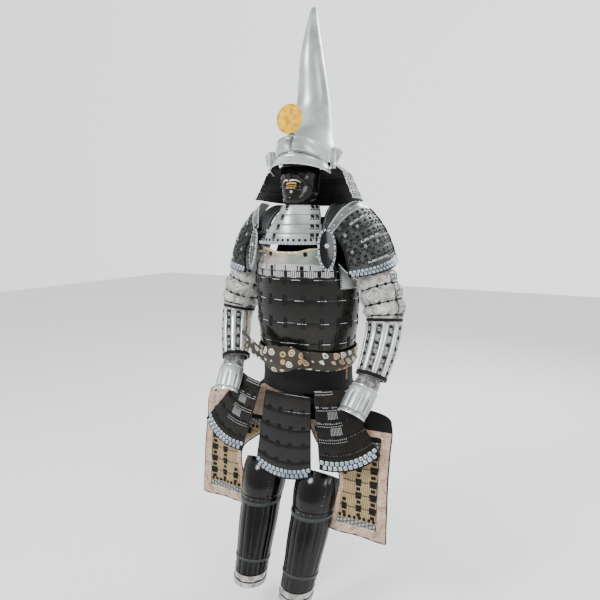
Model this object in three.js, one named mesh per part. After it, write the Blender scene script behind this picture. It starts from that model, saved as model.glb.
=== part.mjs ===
// A samurai armour as it stands when worn: helmet with a tall crown, face mask, laced cuirass,
// skirt plates, sash, shoulder guards, armoured sleeves, thigh guards and shin guards.
// Millimetres, +Z up, the wearer faces -Y and the wearer's left is +X. Heights are above the
// floor in the tables, and the whole group is lowered so that its origin is between the shoulders.
import * as THREE from "three";

const SHOULDER_HEIGHT = 1330;

// Wall thicknesses.
const PLATE = 2.4; // lacquered or silvered plate
const CLOTH = 2.6; // lined sleeve cloth
const HEAVY_CLOTH = 4; // cloth with splints sewn on
const SEAM = 0.3; // between pieces that meet
const LAME_LIFT = 2.6; // how far a lame's upper edge stands proud of the lame above

const FINISHES = {
  silver: { color: 0xc4c7c8, roughness: 0.32, metalness: 0.9 },
  silverLace: { color: 0xb9b6ae, roughness: 0.7, metalness: 0.2 },
  lacquer: { color: 0x16161a, roughness: 0.22, metalness: 0.0 },
  blackLace: { color: 0x1b1b1d, roughness: 0.85, metalness: 0.0 },
  gold: { color: 0xd9b63c, roughness: 0.35, metalness: 0.8 },
  brocade: { color: 0xb9ab92, roughness: 0.75, metalness: 0.05 },
  sleeveCloth: { color: 0xb7b4ad, roughness: 0.7, metalness: 0.1 },
  sashCloth: { color: 0x3b3022, roughness: 0.85, metalness: 0.0 },
  tasselCord: { color: 0xa5622c, roughness: 0.8, metalness: 0.0 },
  leather: { color: 0x1c1c1d, roughness: 0.55, metalness: 0.0 },
};

const { degToRad, lerp } = THREE.MathUtils;
const group = new THREE.Group();
group.position.z = -SHOULDER_HEIGHT;

// ---------------------------------------------------------------- general functions

/** The columns of a table at one value of its key, on a smooth curve through its rows. */
function sample(table, key, value) {
  const sign = Math.sign(table.at(-1)[key] - table[0][key]);
  let i = 0;
  while (i < table.length - 2 && sign * (value - table[i + 1][key]) > 0) i++;
  const [a, b] = [table[i], table[i + 1]];
  const before = table[Math.max(i - 1, 0)];
  const after = table[Math.min(i + 2, table.length - 1)];
  const span = b[key] - a[key];
  const t = THREE.MathUtils.clamp((value - a[key]) / span, 0, 1);
  const found = {};
  for (const column of Object.keys(a)) {
    const slopeA = (b[column] - before[column]) / (b[key] - before[key]);
    const slopeB = (after[column] - a[column]) / (after[key] - a[key]);
    found[column] =
      a[column] * (1 + 2 * t) * (1 - t) ** 2 + slopeA * span * t * (1 - t) ** 2 +
      b[column] * (3 - 2 * t) * t ** 2 + slopeB * span * t ** 2 * (t - 1);
  }
  return found;
}

/** A point on an oval ring section; angle 0 is the front, 90 degrees the wearer's left. */
function oval({ half, front, back }, angle, outward = 0) {
  const middle = (front + back) / 2;
  return [(half + outward) * Math.sin(angle), middle - ((back - front) / 2 + outward) * Math.cos(angle)];
}

/** The rows of a stack of lames, each proud at its upper edge and tucked in at its lower one. */
function lames(count, lift = LAME_LIFT) {
  const rows = [];
  for (let i = 0; i < count; i++) rows.push({ at: i / count, lift }, { at: (i + 1) / count, lift: 0 });
  return rows;
}

/** Evenly spaced rows with no lift. */
function even(count) {
  return Array.from({ length: count + 1 }, (_, i) => ({ at: i / count, lift: 0 }));
}

/** A closed mesh from triangles given as triples of points, with collapsed ones left out. */
function closedGeometry(triangles) {
  const positions = [];
  let volume = 0;
  for (const [a, b, c] of triangles) {
    const short = 1e-4;
    if (a.distanceTo(b) < short || b.distanceTo(c) < short || c.distanceTo(a) < short) continue;
    volume += a.dot(new THREE.Vector3().crossVectors(b, c));
    positions.push([a, b, c]);
  }
  const ordered = volume < 0 ? positions.map(([a, b, c]) => [a, c, b]) : positions;
  const flat = ordered.flat().flatMap((p) => [p.x, p.y, p.z]);
  const geometry = new THREE.BufferGeometry();
  geometry.setAttribute("position", new THREE.Float32BufferAttribute(flat, 3));
  geometry.computeVertexNormals();
  return geometry;
}

/**
 * A wall of even thickness on a surface. surface(u, v) is its outer face, u and v from 0 to 1,
 * across the columns and down the rows; core(u, v) is a point on the wearer's side of it.
 * A loop joins its last column to its first.
 */
function wall(surface, { across, rows, thickness, core, loop = false, relief = () => 0 }) {
  const step = 1e-3;
  const grid = rows.map(({ at: v, lift }) =>
    Array.from({ length: loop ? across : across + 1 }, (_, i) => {
      const u = i / across;
      const face = surface(u, v);
      const [u0, u1] = loop ? [u - step, u + step] : [Math.max(u - step, 0), Math.min(u + step, 1)];
      const [v0, v1] = [Math.max(v - step, 0), Math.min(v + step, 1)];
      const alongU = surface(u1, v).sub(surface(u0, v));
      const alongV = surface(u, v1).sub(surface(u, v0));
      const out = alongU.cross(alongV).normalize();
      if (out.dot(face.clone().sub(core(u, v))) < 0) out.negate();
      return {
        outer: face.clone().addScaledVector(out, lift + relief(u, v)),
        inner: face.clone().addScaledVector(out, -thickness),
      };
    }),
  );
  const triangles = [];
  const quad = (a, b, c, d) => triangles.push([a, b, c], [a, c, d]);
  const columns = loop ? across : across + 1;
  const last = rows.length - 1;
  for (let i = 0; i < across; i++) {
    const next = (i + 1) % columns;
    for (let j = 0; j < last; j++) {
      const [a, b, c, d] = [grid[j][i], grid[j][next], grid[j + 1][next], grid[j + 1][i]];
      quad(a.outer, b.outer, c.outer, d.outer);
      quad(d.inner, c.inner, b.inner, a.inner);
    }
    quad(grid[0][i].inner, grid[0][next].inner, grid[0][next].outer, grid[0][i].outer);
    quad(grid[last][i].outer, grid[last][next].outer, grid[last][next].inner, grid[last][i].inner);
  }
  if (!loop) {
    for (let j = 0; j < last; j++) {
      const [a, b] = [grid[j][0], grid[j + 1][0]];
      const [c, d] = [grid[j][across], grid[j + 1][across]];
      quad(a.outer, b.outer, b.inner, a.inner);
      quad(c.inner, d.inner, d.outer, c.outer);
    }
  }
  return closedGeometry(triangles);
}

/** A rounded solid with two poles: surface(u, v) loops in u, and v = 0 and 1 are single points. */
function pebble(surface, around, rows) {
  const triangles = [];
  for (let i = 0; i < around; i++) {
    for (let j = 0; j < rows; j++) {
      const [a, b] = [surface(i / around, j / rows), surface(((i + 1) % around) / around, j / rows)];
      const c = surface(((i + 1) % around) / around, (j + 1) / rows);
      const d = surface(i / around, (j + 1) / rows);
      triangles.push([a, b, c], [a, c, d]);
    }
  }
  return closedGeometry(triangles);
}

function add(name, geometry, finish) {
  const mesh = new THREE.Mesh(geometry, new THREE.MeshStandardMaterial(FINISHES[finish]));
  mesh.name = name;
  group.add(mesh);
}

const SIDES = [
  { side: "left", sign: 1 },
  { side: "right", sign: -1 },
];

/** Adds a piece for the wearer's left and its mirror image for the right. */
function addPair(name, build, finish) {
  for (const { side, sign } of SIDES) add(`${name}_${side}`, build(sign, side), finish);
}

const mirrored = ({ x, y, z }, sign = 1) => new THREE.Vector3(sign * x, y, z);

const curveThrough = (points, sign = 1) =>
  new THREE.CatmullRomCurve3(points.map((point) => mirrored(point, sign)));

/** A core for walls that stand round the body's middle. */
const onAxis = (height) => () => new THREE.Vector3(0, 0, height);

/** A lathe body about +Z from a table of radius and height, listed from its top down. */
function turned(profile, segments) {
  const points = profile.map(({ radius, height }) => new THREE.Vector2(radius, height));
  return new THREE.LatheGeometry(points.toReversed(), segments).rotateX(Math.PI / 2);
}

// ---------------------------------------------------------------- helmet

// The crown is a tall cap, flattened from side to side, whose tip leans back.
const CROWN = [
  { height: 1506, half: 93, front: -109, back: 108 },
  { height: 1552, half: 89, front: -104, back: 106 },
  { height: 1582, half: 81, front: -82, back: 102 },
  { height: 1612, half: 73, front: -54, back: 98 },
  { height: 1650, half: 66, front: -30, back: 93 },
  { height: 1706, half: 57, front: -10, back: 86 },
  { height: 1835, half: 40, front: -10, back: 64 },
  { height: 1934, half: 21, front: 9, back: 54 },
  { height: 1985, half: 11, front: 28, back: 51 },
  { height: 1996, half: 7, front: 34, back: 48 },
];
const CROWN_TIP = new THREE.Vector3(0, 41, 1999);
const CROWN_INNER_TIP = new THREE.Vector3(0, 35, 1954);
const CROWN_WALL = 2.2;
const CROWN_SIDES = 20;

function helmetCrown() {
  const low = CROWN[0].height;
  const high = CROWN.at(-1).height;
  const surface = (u, v) => {
    const height = lerp(low, high, v);
    const [x, y] = oval(sample(CROWN, "height", height), u * 2 * Math.PI);
    return new THREE.Vector3(x, y, height);
  };
  const rows = CROWN.map(({ height }) => (height - low) / (high - low));
  const ring = (v, inset) =>
    Array.from({ length: CROWN_SIDES }, (_, i) => {
      const face = surface(i / CROWN_SIDES, v);
      const middle = sample(CROWN, "height", face.z);
      const centre = new THREE.Vector3(0, (middle.front + middle.back) / 2, face.z);
      const reach = centre.distanceTo(face);
      return centre.clone().lerp(face, (reach - inset) / reach);
    });
  const innerRows = rows.slice(0, -1);
  const rings = [
    ...innerRows.toReversed().map((v) => ring(v, CROWN_WALL)),
    ...rows.map((v) => ring(v, 0)),
  ];
  const triangles = [];
  for (let i = 0; i < CROWN_SIDES; i++) {
    const next = (i + 1) % CROWN_SIDES;
    triangles.push([CROWN_INNER_TIP, rings[0][next], rings[0][i]]);
    for (let j = 0; j < rings.length - 1; j++) {
      const [a, b, c, d] = [rings[j][i], rings[j][next], rings[j + 1][next], rings[j + 1][i]];
      triangles.push([a, b, c], [a, c, d]);
    }
    triangles.push([rings.at(-1)[i], rings.at(-1)[next], CROWN_TIP]);
  }
  return closedGeometry(triangles);
}
add("helmet_crown", helmetCrown(), "silver");

// The visor runs round the brow: a shelf over two brow bulges, then a peak.
const VISOR_SPREAD = degToRad(70);
const VISOR = [
  { at: 0, height: 1584, reach: 2, bulge: 0 },
  { at: 0.2, height: 1580, reach: 6, bulge: 18 },
  { at: 0.55, height: 1542, reach: 4, bulge: 14 },
  { at: 0.7, height: 1528, reach: 5, bulge: 3 },
  { at: 1, height: 1496, reach: 32, bulge: 0 },
];
const BROW_NOTCH = degToRad(7); // the cleft between the two bulges
const BROW_END = 0.85; // where the bulges die out, as a share of the spread
const VISOR_GAP = 4; // from the crown
const VISOR_END_REACH = 0.45; // how much of the reach is left at the ends
const VISOR_DROP = { peak: 26, shelf: 44 }; // how far the ends fall at the lower and upper edge
const BROW_SEAT = { ends: 1552, middle: 1572 }; // the crown height that the visor is fitted to

function visorSurface(u, v) {
  const angle = lerp(-VISOR_SPREAD, VISOR_SPREAD, u);
  const { height, reach, bulge } = sample(VISOR, "at", v);
  const ends = Math.abs(angle) / VISOR_SPREAD;
  const brow = Math.min(1, Math.abs(angle) / BROW_NOTCH) * Math.max(0, 1 - (ends / BROW_END) ** 4);
  const fallen = 1 - ends ** 2;
  const seat = Math.min(height, lerp(BROW_SEAT.ends, BROW_SEAT.middle, fallen));
  const outward = VISOR_GAP + reach * lerp(VISOR_END_REACH, 1, fallen) + bulge * brow * fallen;
  const [x, y] = oval(sample(CROWN, "height", seat), angle, outward);
  return new THREE.Vector3(x, y, height - lerp(VISOR_DROP.shelf, VISOR_DROP.peak, v) * ends ** 2);
}
add(
  "helmet_visor",
  wall(visorSurface, {
    across: 18,
    rows: VISOR.map(({ at }) => ({ at, lift: 0 })),
    thickness: PLATE,
    core: onAxis(VISOR.at(-1).height),
  }),
  "silver",
);

// Turnbacks: curled plates beside the visor, narrow at the foot and wide at the top.
const TURNBACK = {
  innerLow: { x: 104, y: -43, z: 1484 },
  outerLow: { x: 121, y: -53, z: 1487 },
  innerHigh: { x: 97, y: -24, z: 1544 },
  outerHigh: { x: 144, y: -38, z: 1534 },
};
const TURNBACK_CURL = 16; // how far its middle bows forwards at the top
const TURNBACK_ARCH = 8; // how far the middle of its top rises

function turnback(sign) {
  const [a, b, c, d] = Object.values(TURNBACK).map((point) => mirrored(point, sign));
  const surface = (u, v) => {
    const bow = Math.sin(u * Math.PI) * v;
    const point = a.clone().lerp(c, v).lerp(b.clone().lerp(d, v), u);
    return point.add(new THREE.Vector3(0, -TURNBACK_CURL * bow, TURNBACK_ARCH * bow));
  };
  const core = () => new THREE.Vector3(0, -TURNBACK.outerLow.y, TURNBACK.outerLow.z);
  return wall(surface, { across: 5, rows: even(2), thickness: PLATE, core });
}
addPair("helmet_turnback", turnback, "silver");

// Crest: a plain disc on a post that slides into a holder on the brow.
const CREST = { radius: 45, y: -122, height: 1630, lean: degToRad(5) };
// Its section from the middle of the front to the middle of the back.
const CREST_SECTION = [
  { radius: 0, height: 3 },
  { radius: 27, height: 2.3 },
  { radius: 43.8, height: 1.5 },
  { radius: CREST.radius, height: 0 },
  { radius: 43.8, height: -1.5 },
  { radius: 0, height: -1.5 },
];
const CREST_SIDES = 28;

function crestDisc() {
  const geometry = turned(CREST_SECTION, CREST_SIDES);
  geometry.rotateX(Math.PI / 2 - CREST.lean);
  geometry.translate(0, CREST.y, CREST.height);
  return geometry;
}
add("crest_disc", crestDisc(), "gold");

// The post's side view, and its width.
const CREST_POST = [
  { y: -112, z: 1586 },
  { y: -103, z: 1586 },
  { y: -103, z: 1606 },
  { y: -113, z: 1640 },
  { y: -118, z: 1640 },
];
const CREST_POST_WIDTH = 16;

function crestPost() {
  const side = new THREE.Shape(CREST_POST.map(({ y, z }) => new THREE.Vector2(y, z)));
  const geometry = new THREE.ExtrudeGeometry(side, { depth: CREST_POST_WIDTH, bevelEnabled: false });
  geometry.translate(0, 0, -CREST_POST_WIDTH / 2);
  const axes = [new THREE.Vector3(0, 1, 0), new THREE.Vector3(0, 0, 1), new THREE.Vector3(1, 0, 0)];
  return geometry.applyMatrix4(new THREE.Matrix4().makeBasis(...axes));
}
add("crest_post", crestPost(), "lacquer");

// Neck guard: four lames that widen downwards, open at the face. The first spreads from the
// crown's edge like an umbrella, and the others hang from it.
const NECK_GUARD = [
  { height: 1503, half: 98, front: -114, back: 113 },
  { height: 1476, half: 141, front: -147, back: 138 },
  { height: 1448, half: 154, front: -161, back: 152 },
  { height: 1421, half: 168, front: -175, back: 166 },
  { height: 1394, half: 183, front: -191, back: 181 },
];
const NECK_GUARD_EDGE = degToRad(78);

const NECK_GUARD_STEP = 2.2; // each lame starts this far below the one above it

for (let i = 0; i < NECK_GUARD.length - 1; i++) {
  const [top, bottom] = [NECK_GUARD[i], NECK_GUARD[i + 1]];
  const surface = (u, v) => {
    const angle = lerp(NECK_GUARD_EDGE, 2 * Math.PI - NECK_GUARD_EDGE, u);
    const share = lerp(NECK_GUARD_STEP / (top.height - bottom.height), 1, v);
    const [upper, lower] = [top, bottom].map((ring) => new THREE.Vector3(...oval(ring, angle), ring.height));
    return upper.lerp(lower, share);
  };
  add(
    `neck_guard_lame_${i + 1}`,
    wall(surface, {
      across: 18,
      rows: lames(1),
      thickness: PLATE,
      core: onAxis(NECK_GUARD.at(-1).height),
    }),
    i ? "silverLace" : "lacquer",
  );
}

// ---------------------------------------------------------------- mask and throat guard

const MASK = [
  { height: 1364, half: 34, front: -112 },
  { height: 1382, half: 50, front: -122 },
  { height: 1406, half: 60, front: -119 },
  { height: 1436, half: 64, front: -113 },
  { height: 1466, half: 66, front: -112 },
  { height: 1494, half: 66, front: -104 },
];
const MASK_EAR = -46; // where its sides end
const NOSE = { height: 1462, tall: 20, spread: degToRad(17), proud: 19 };

function maskSurface(u, v) {
  const angle = lerp(-Math.PI / 2, Math.PI / 2, u);
  const height = lerp(MASK[0].height, MASK.at(-1).height, v);
  const { half, front } = sample(MASK, "height", height);
  const bell = Math.exp(-((angle / NOSE.spread) ** 2) - ((height - NOSE.height) / NOSE.tall) ** 2);
  const depth = MASK_EAR - front + NOSE.proud * bell;
  return new THREE.Vector3(half * Math.sin(angle), MASK_EAR - depth * Math.cos(angle), height);
}
add(
  "mask_shell",
  wall(maskSurface, {
    across: 16,
    rows: even(7),
    thickness: PLATE,
    core: () => new THREE.Vector3(0, MASK_EAR, NOSE.height),
  }),
  "lacquer",
);

// Throat guard: four lames that hang from the mask and lie on the chest.
const THROAT = [
  { height: 1372, half: 60, ends: -34, front: -120, sweep: 80 },
  { height: 1342, half: 74, ends: -54, front: -137, sweep: 70 },
  { height: 1312, half: 90, ends: -80, front: -150, sweep: 60 },
  { height: 1284, half: 104, ends: -104, front: -161, sweep: 52 },
  { height: 1252, half: 116, ends: -122, front: -170, sweep: 46 },
];

function throatSurface(u, height) {
  const { half, ends, front, sweep } = sample(THROAT, "height", height);
  const most = degToRad(sweep);
  const angle = lerp(-most, most, u);
  const round = (1 - Math.cos(angle)) / (1 - Math.cos(most));
  return new THREE.Vector3((half * Math.sin(angle)) / Math.sin(most), lerp(front, ends, round), height);
}
for (let i = 0; i < THROAT.length - 1; i++) {
  const [top, bottom] = [THROAT[i].height - SEAM, THROAT[i + 1].height];
  add(
    `throat_lame_${i + 1}`,
    wall((u, v) => throatSurface(u, lerp(top, bottom, v)), {
      across: 12,
      rows: lames(1),
      thickness: PLATE,
      core: onAxis(THROAT[0].height),
    }),
    "silverLace",
  );
}

// ---------------------------------------------------------------- cuirass

const TORSO = [
  { height: 752, half: 164, front: -138, back: 146 },
  { height: 800, half: 160, front: -136, back: 137 },
  { height: 841, half: 159, front: -136, back: 132 },
  { height: 868, half: 160, front: -136, back: 132 },
  { height: 933, half: 171, front: -142, back: 139 },
  { height: 1001, half: 179, front: -147, back: 144 },
  { height: 1076, half: 180, front: -148, back: 146 },
  { height: 1142, half: 176, front: -149, back: 146 },
  { height: 1185, half: 170, front: -149, back: 144 },
  { height: 1240, half: 158, front: -147, back: 138 },
  { height: 1300, half: 148, front: -132, back: 122 },
  { height: 1344, half: 138, front: -112, back: 96 },
];

function torsoPoint(angle, height, outward = 0) {
  const [x, y] = oval(sample(TORSO, "height", height), angle, outward);
  return new THREE.Vector3(x, y, height);
}
const torsoCore = (u, v) => new THREE.Vector3(0, 0, lerp(1240, 860, v));

// Four lacquered lames go round the body and open under the right arm.
const CUIRASS_LAMES = [1142, 1076, 1001, 933, 868];
const OPENING = degToRad(-92);
const OPENING_GAP = degToRad(0.8);

for (let i = 0; i < CUIRASS_LAMES.length - 1; i++) {
  const [top, bottom] = [CUIRASS_LAMES[i] - SEAM, CUIRASS_LAMES[i + 1]];
  const surface = (u, v) => {
    const angle = lerp(OPENING + OPENING_GAP, OPENING + 2 * Math.PI - OPENING_GAP, u);
    return torsoPoint(angle, lerp(top, bottom, v));
  };
  add(
    `cuirass_lame_${i + 1}`,
    wall(surface, { across: 30, rows: lames(1), thickness: PLATE, core: torsoCore }),
    "lacquer",
  );
}

// The chest: one laced row and a silvered plate with a rolled upper rim.
const LACED_ROW = { low: 1142 + SEAM, high: 1185, spread: degToRad(57) };
add(
  "chest_laced_lame",
  wall(
    (u, v) =>
      torsoPoint(lerp(-LACED_ROW.spread, LACED_ROW.spread, u), lerp(LACED_ROW.high, LACED_ROW.low, v)),
    { across: 14, rows: lames(1), thickness: PLATE, core: torsoCore },
  ),
  "silverLace",
);

const CHEST_PLATE = { low: 1185 + SEAM, high: 1238, wide: degToRad(48), narrow: degToRad(38), rim: 4 };
add(
  "chest_plate",
  wall(
    (u, v) => {
      const spread = lerp(CHEST_PLATE.narrow, CHEST_PLATE.wide, v);
      const rim = CHEST_PLATE.rim * Math.max(0, 1 - v * 5);
      return torsoPoint(lerp(-spread, spread, u), lerp(CHEST_PLATE.high, CHEST_PLATE.low, v), rim);
    },
    { across: 12, rows: [0, 0.1, 0.2, 1].map((at) => ({ at, lift: 0 })), thickness: PLATE, core: torsoCore },
  ),
  "silver",
);

// The back: one plate up to the shoulder blades, narrower at its top.
const BACK_PLATE = { low: 1142 + SEAM, high: 1336, wide: degToRad(76), narrow: degToRad(50) };
add(
  "back_plate",
  wall(
    (u, v) => {
      const spread = lerp(BACK_PLATE.narrow, BACK_PLATE.wide, Math.sqrt(v));
      return torsoPoint(Math.PI + lerp(-spread, spread, u), lerp(BACK_PLATE.high, BACK_PLATE.low, v));
    },
    { across: 12, rows: lames(3), thickness: PLATE, core: torsoCore },
  ),
  "lacquer",
);

// Side plates: silvered ends of the front, cut away for the arm.
const SIDE_PLATE = { front: degToRad(59), rear: degToRad(96), low: 1110, high: 1192, cut: 58, outward: 6.4 };
function sidePlate(sign) {
  const { front, rear, low, high, cut, outward } = SIDE_PLATE;
  return wall(
    (u, v) => {
      const armhole = high - cut * Math.min(1, u * 1.6) ** 0.8;
      return torsoPoint(sign * lerp(front, rear, u), lerp(armhole, low, v), outward);
    },
    { across: 8, rows: even(1), thickness: PLATE, core: torsoCore },
  );
}
addPair("side_plate", sidePlate, "silver");

// Shoulder straps, from the back plate over the shoulder to the chest plate.
const STRAP_WIDTH = 54;
const STRAP_THICKNESS = 5;
const STRAP_PATH = [
  { x: 92, y: 115, z: 1306 },
  { x: 93, y: 110, z: 1340 },
  { x: 98, y: 80, z: 1362 },
  { x: 106, y: 24, z: 1377 },
  { x: 116, y: -34, z: 1359 },
  { x: 123, y: -78, z: 1322 },
  { x: 126, y: -102, z: 1276 },
  { x: 123, y: -111, z: 1246 },
];
function shoulderStrap(sign) {
  const path = curveThrough(STRAP_PATH, sign);
  const surface = (u, v) => path.getPoint(v).add(new THREE.Vector3((u - 0.5) * STRAP_WIDTH, 0, 0));
  const core = () => mirrored({ x: STRAP_PATH[0].x, y: 0, z: BACK_PLATE.low }, sign);
  return wall(surface, { across: 1, rows: even(12), thickness: STRAP_THICKNESS, core });
}
addPair("shoulder_strap", shoulderStrap, "leather");

// Leaf-shaped pendants that hang over the strap ends.
const PENDANT = { x: 133, y: -129, height: 1232, half: 27, tall: 67, thickness: 4.5 };
const PENDANT_TURN = degToRad(38); // outwards
const PENDANT_TILT = degToRad(-8); // its foot stands out from the chest
function pendant(sign) {
  const { x, y, height, half, tall, thickness } = PENDANT;
  const leaf = new THREE.Shape();
  leaf.moveTo(0, tall);
  leaf.bezierCurveTo(half * 0.9, tall * 0.96, half, tall * 0.5, half, 0);
  leaf.bezierCurveTo(half, -tall * 0.6, half * 0.5, -tall * 0.8, 0, -tall);
  leaf.bezierCurveTo(-half * 0.5, -tall * 0.8, -half, -tall * 0.6, -half, 0);
  leaf.bezierCurveTo(-half, tall * 0.5, -half * 0.9, tall * 0.96, 0, tall);
  const options = { depth: thickness, bevelEnabled: false, curveSegments: 4 };
  const geometry = new THREE.ExtrudeGeometry(leaf, options);
  geometry.rotateX(Math.PI / 2 + PENDANT_TILT);
  geometry.rotateZ(sign * PENDANT_TURN);
  geometry.translate(sign * x, y, height);
  return geometry;
}
addPair("strap_pendant", pendant, "lacquer");

// Laced cords between the cuirass and its skirt, made as one curtain.
const WAIST_LACING = { high: 868 - SEAM, low: 762, thickness: 3 };
add(
  "waist_lacing",
  wall((u, v) => torsoPoint(u * 2 * Math.PI, lerp(WAIST_LACING.high, WAIST_LACING.low, v)), {
    across: 28,
    rows: even(2),
    thickness: WAIST_LACING.thickness,
    core: onAxis(WAIST_LACING.low),
    loop: true,
  }),
  "blackLace",
);

// ---------------------------------------------------------------- skirt plates

// Corners of the seven skirt plates: top and bottom, at the edge nearer the front and the other.
// The plates beside the front one are spread by the hands that rest on them.
const FRONT_PLATE = {
  topNear: { x: -86, y: -144, z: 759 },
  topFar: { x: 86, y: -144, z: 759 },
  bottomNear: { x: -106, y: -180, z: 502 },
  bottomFar: { x: 106, y: -180, z: 502 },
  bulge: 10,
  sag: 24,
};
const SPREAD_PLATE = {
  topNear: { x: 101, y: -148, z: 784 },
  topFar: { x: 190, y: -122, z: 798 },
  bottomNear: { x: 150, y: -202, z: 548 },
  bottomFar: { x: 334, y: -158, z: 617 },
  bulge: 14,
  sag: 20,
};
const RING_PLATES = [
  { name: "side", topNear: 60, topFar: 112, bottomNear: 67, bottomFar: 116 },
  { name: "back", topNear: 117, topFar: 176, bottomNear: 120, bottomFar: 176 },
];
const SKIRT_TOP = { half: 174, front: -150, back: 158, height: 760 };
const SKIRT_HEM = { half: 252, front: -200, back: 232, height: 508 };
const RING_PLATE_FORM = { bulge: 16, sag: 14 };
const SKIRT_LAMES = 5;

/** A skirt plate between four corners, arched outwards across its width. */
function skirtPlate({ topNear, topFar, bottomNear, bottomFar, bulge, sag }, sign = 1) {
  const [a, b, c, d] = [topNear, topFar, bottomNear, bottomFar].map((point) => mirrored(point, sign));
  const out = new THREE.Vector3().addVectors(c, d).setZ(0).normalize();
  const surface = (u, v) => {
    const arch = 4 * u * (1 - u);
    const point = a.clone().lerp(b, u).lerp(c.clone().lerp(d, u), v);
    point.addScaledVector(out, bulge * arch * lerp(0.5, 1, v));
    point.z -= sag * arch * v;
    return point;
  };
  return wall(surface, {
    across: 6,
    rows: lames(SKIRT_LAMES),
    thickness: PLATE,
    core: onAxis(bottomNear.z),
  });
}

function ringCorner(ring, degrees) {
  const [x, y] = oval(ring, degToRad(degrees));
  return { x, y, z: ring.height };
}

add("skirt_plate_front", skirtPlate(FRONT_PLATE), "lacquer");
addPair("skirt_plate_front", (sign) => skirtPlate(SPREAD_PLATE, sign), "lacquer");
for (const { name, topNear, topFar, bottomNear, bottomFar } of RING_PLATES) {
  const corners = {
    topNear: ringCorner(SKIRT_TOP, topNear),
    topFar: ringCorner(SKIRT_TOP, topFar),
    bottomNear: ringCorner(SKIRT_HEM, bottomNear),
    bottomFar: ringCorner(SKIRT_HEM, bottomFar),
  };
  addPair(`skirt_plate_${name}`, (sign) => skirtPlate({ ...corners, ...RING_PLATE_FORM }, sign), "lacquer");
}

// ---------------------------------------------------------------- sash

const SASH = { low: 842, high: 905, clearance: 5.2, thickness: 5 };
const SASH_FOLDS = [
  { size: 6, waves: 0.5, shift: 0 },
  { size: 2.5, waves: 1.5, shift: 0.4 },
];
const SASH_SLACK = [
  { size: 3, waves: 3, shift: 1 },
  { size: 2, waves: 5, shift: 0 },
];
/** The sum of a table's waves at a share of the way along them. */
function foldHeight(table, share) {
  const parts = table.map(({ size, waves, shift }) => size * Math.sin(2 * Math.PI * waves * share + shift));
  return parts.reduce((sum, part) => sum + part, 0);
}

add(
  "sash_band",
  wall(
    (u, v) => {
      const height = lerp(SASH.high, SASH.low, v) + foldHeight(SASH_SLACK, u);
      return torsoPoint(u * 2 * Math.PI, height, SASH.clearance + SASH.thickness + foldHeight(SASH_FOLDS, v));
    },
    {
      across: 28,
      rows: even(4),
      thickness: SASH.thickness,
      core: onAxis(SASH.low),
      loop: true,
    },
  ),
  "sashCloth",
);

// The knot is folded cloth, made as one rounded body with its main folds. It leans and tapers
// towards the wearer's left, and its ends droop less than its middle.
const KNOT = { x: 2, y: -176, height: 884, half: 72, deep: 20, tall: 50, taper: 0.15, rise: 10 };
const KNOT_FOLDS = [
  { size: 0.1, around: 3, twist: 2.5 },
  { size: 0.06, around: 5, twist: -4 },
];
const KNOT_BLUNTNESS = 0.6; // below 1, its ends are rounder than an ellipsoid's

function knotSurface(u, v) {
  const { x, y, height, half, deep, tall, taper, rise } = KNOT;
  const turn = u * 2 * Math.PI;
  const side = Math.cos(v * Math.PI);
  const folds = KNOT_FOLDS.map(({ size, around, twist }) => size * Math.cos(around * turn + twist * side));
  const girth = Math.sin(v * Math.PI) ** KNOT_BLUNTNESS * (1 + folds[0] + folds[1]);
  return new THREE.Vector3(
    x + half * side,
    y + deep * girth * Math.cos(turn),
    height + tall * (1 - taper * (1 + side)) * girth * Math.sin(turn) + rise * side ** 2,
  );
}
add("sash_knot", pebble(knotSurface, 16, 8), "sashCloth");

// The loose end leaves the knot upwards to the wearer's right.
const TAIL_PATH = [
  { x: -76, y: -180, z: 892 },
  { x: -100, y: -174, z: 904 },
  { x: -130, y: -162, z: 915 },
  { x: -160, y: -145, z: 924 },
  { x: -184, y: -130, z: 930 },
];
const TAIL = { startWidth: 37, endWidth: 48, fold: 5, folds: 1.25, thickness: 4, lean: 0.2 };
const tailCurve = curveThrough(TAIL_PATH);

function tailSurface(u, v) {
  const across = (u - 0.5) * lerp(TAIL.startWidth, TAIL.endWidth, v);
  const fold = TAIL.fold * Math.sin(u * TAIL.folds * 2 * Math.PI + 2 * v);
  return tailCurve.getPoint(v).add(new THREE.Vector3(-TAIL.lean * across, -fold, across));
}
add(
  "sash_tail",
  wall(tailSurface, { across: 4, rows: even(5), thickness: TAIL.thickness, core: onAxis(SASH.high) }),
  "sashCloth",
);

// A small cord tassel tucked into the sash.
const TASSEL = { x: 175, y: -57, z: 862 };
const TASSEL_SECTION = [
  { radius: 0, height: 0 },
  { radius: 2.2, height: -1 },
  { radius: 2.7, height: -21 },
  { radius: 4.5, height: -26 },
  { radius: 3.2, height: -31 },
  { radius: 5, height: -52 },
  { radius: 0, height: -52 },
];
add("sash_tassel", turned(TASSEL_SECTION, 8).translate(TASSEL.x, TASSEL.y, TASSEL.z), "tasselCord");

// ---------------------------------------------------------------- shoulder guards

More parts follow.
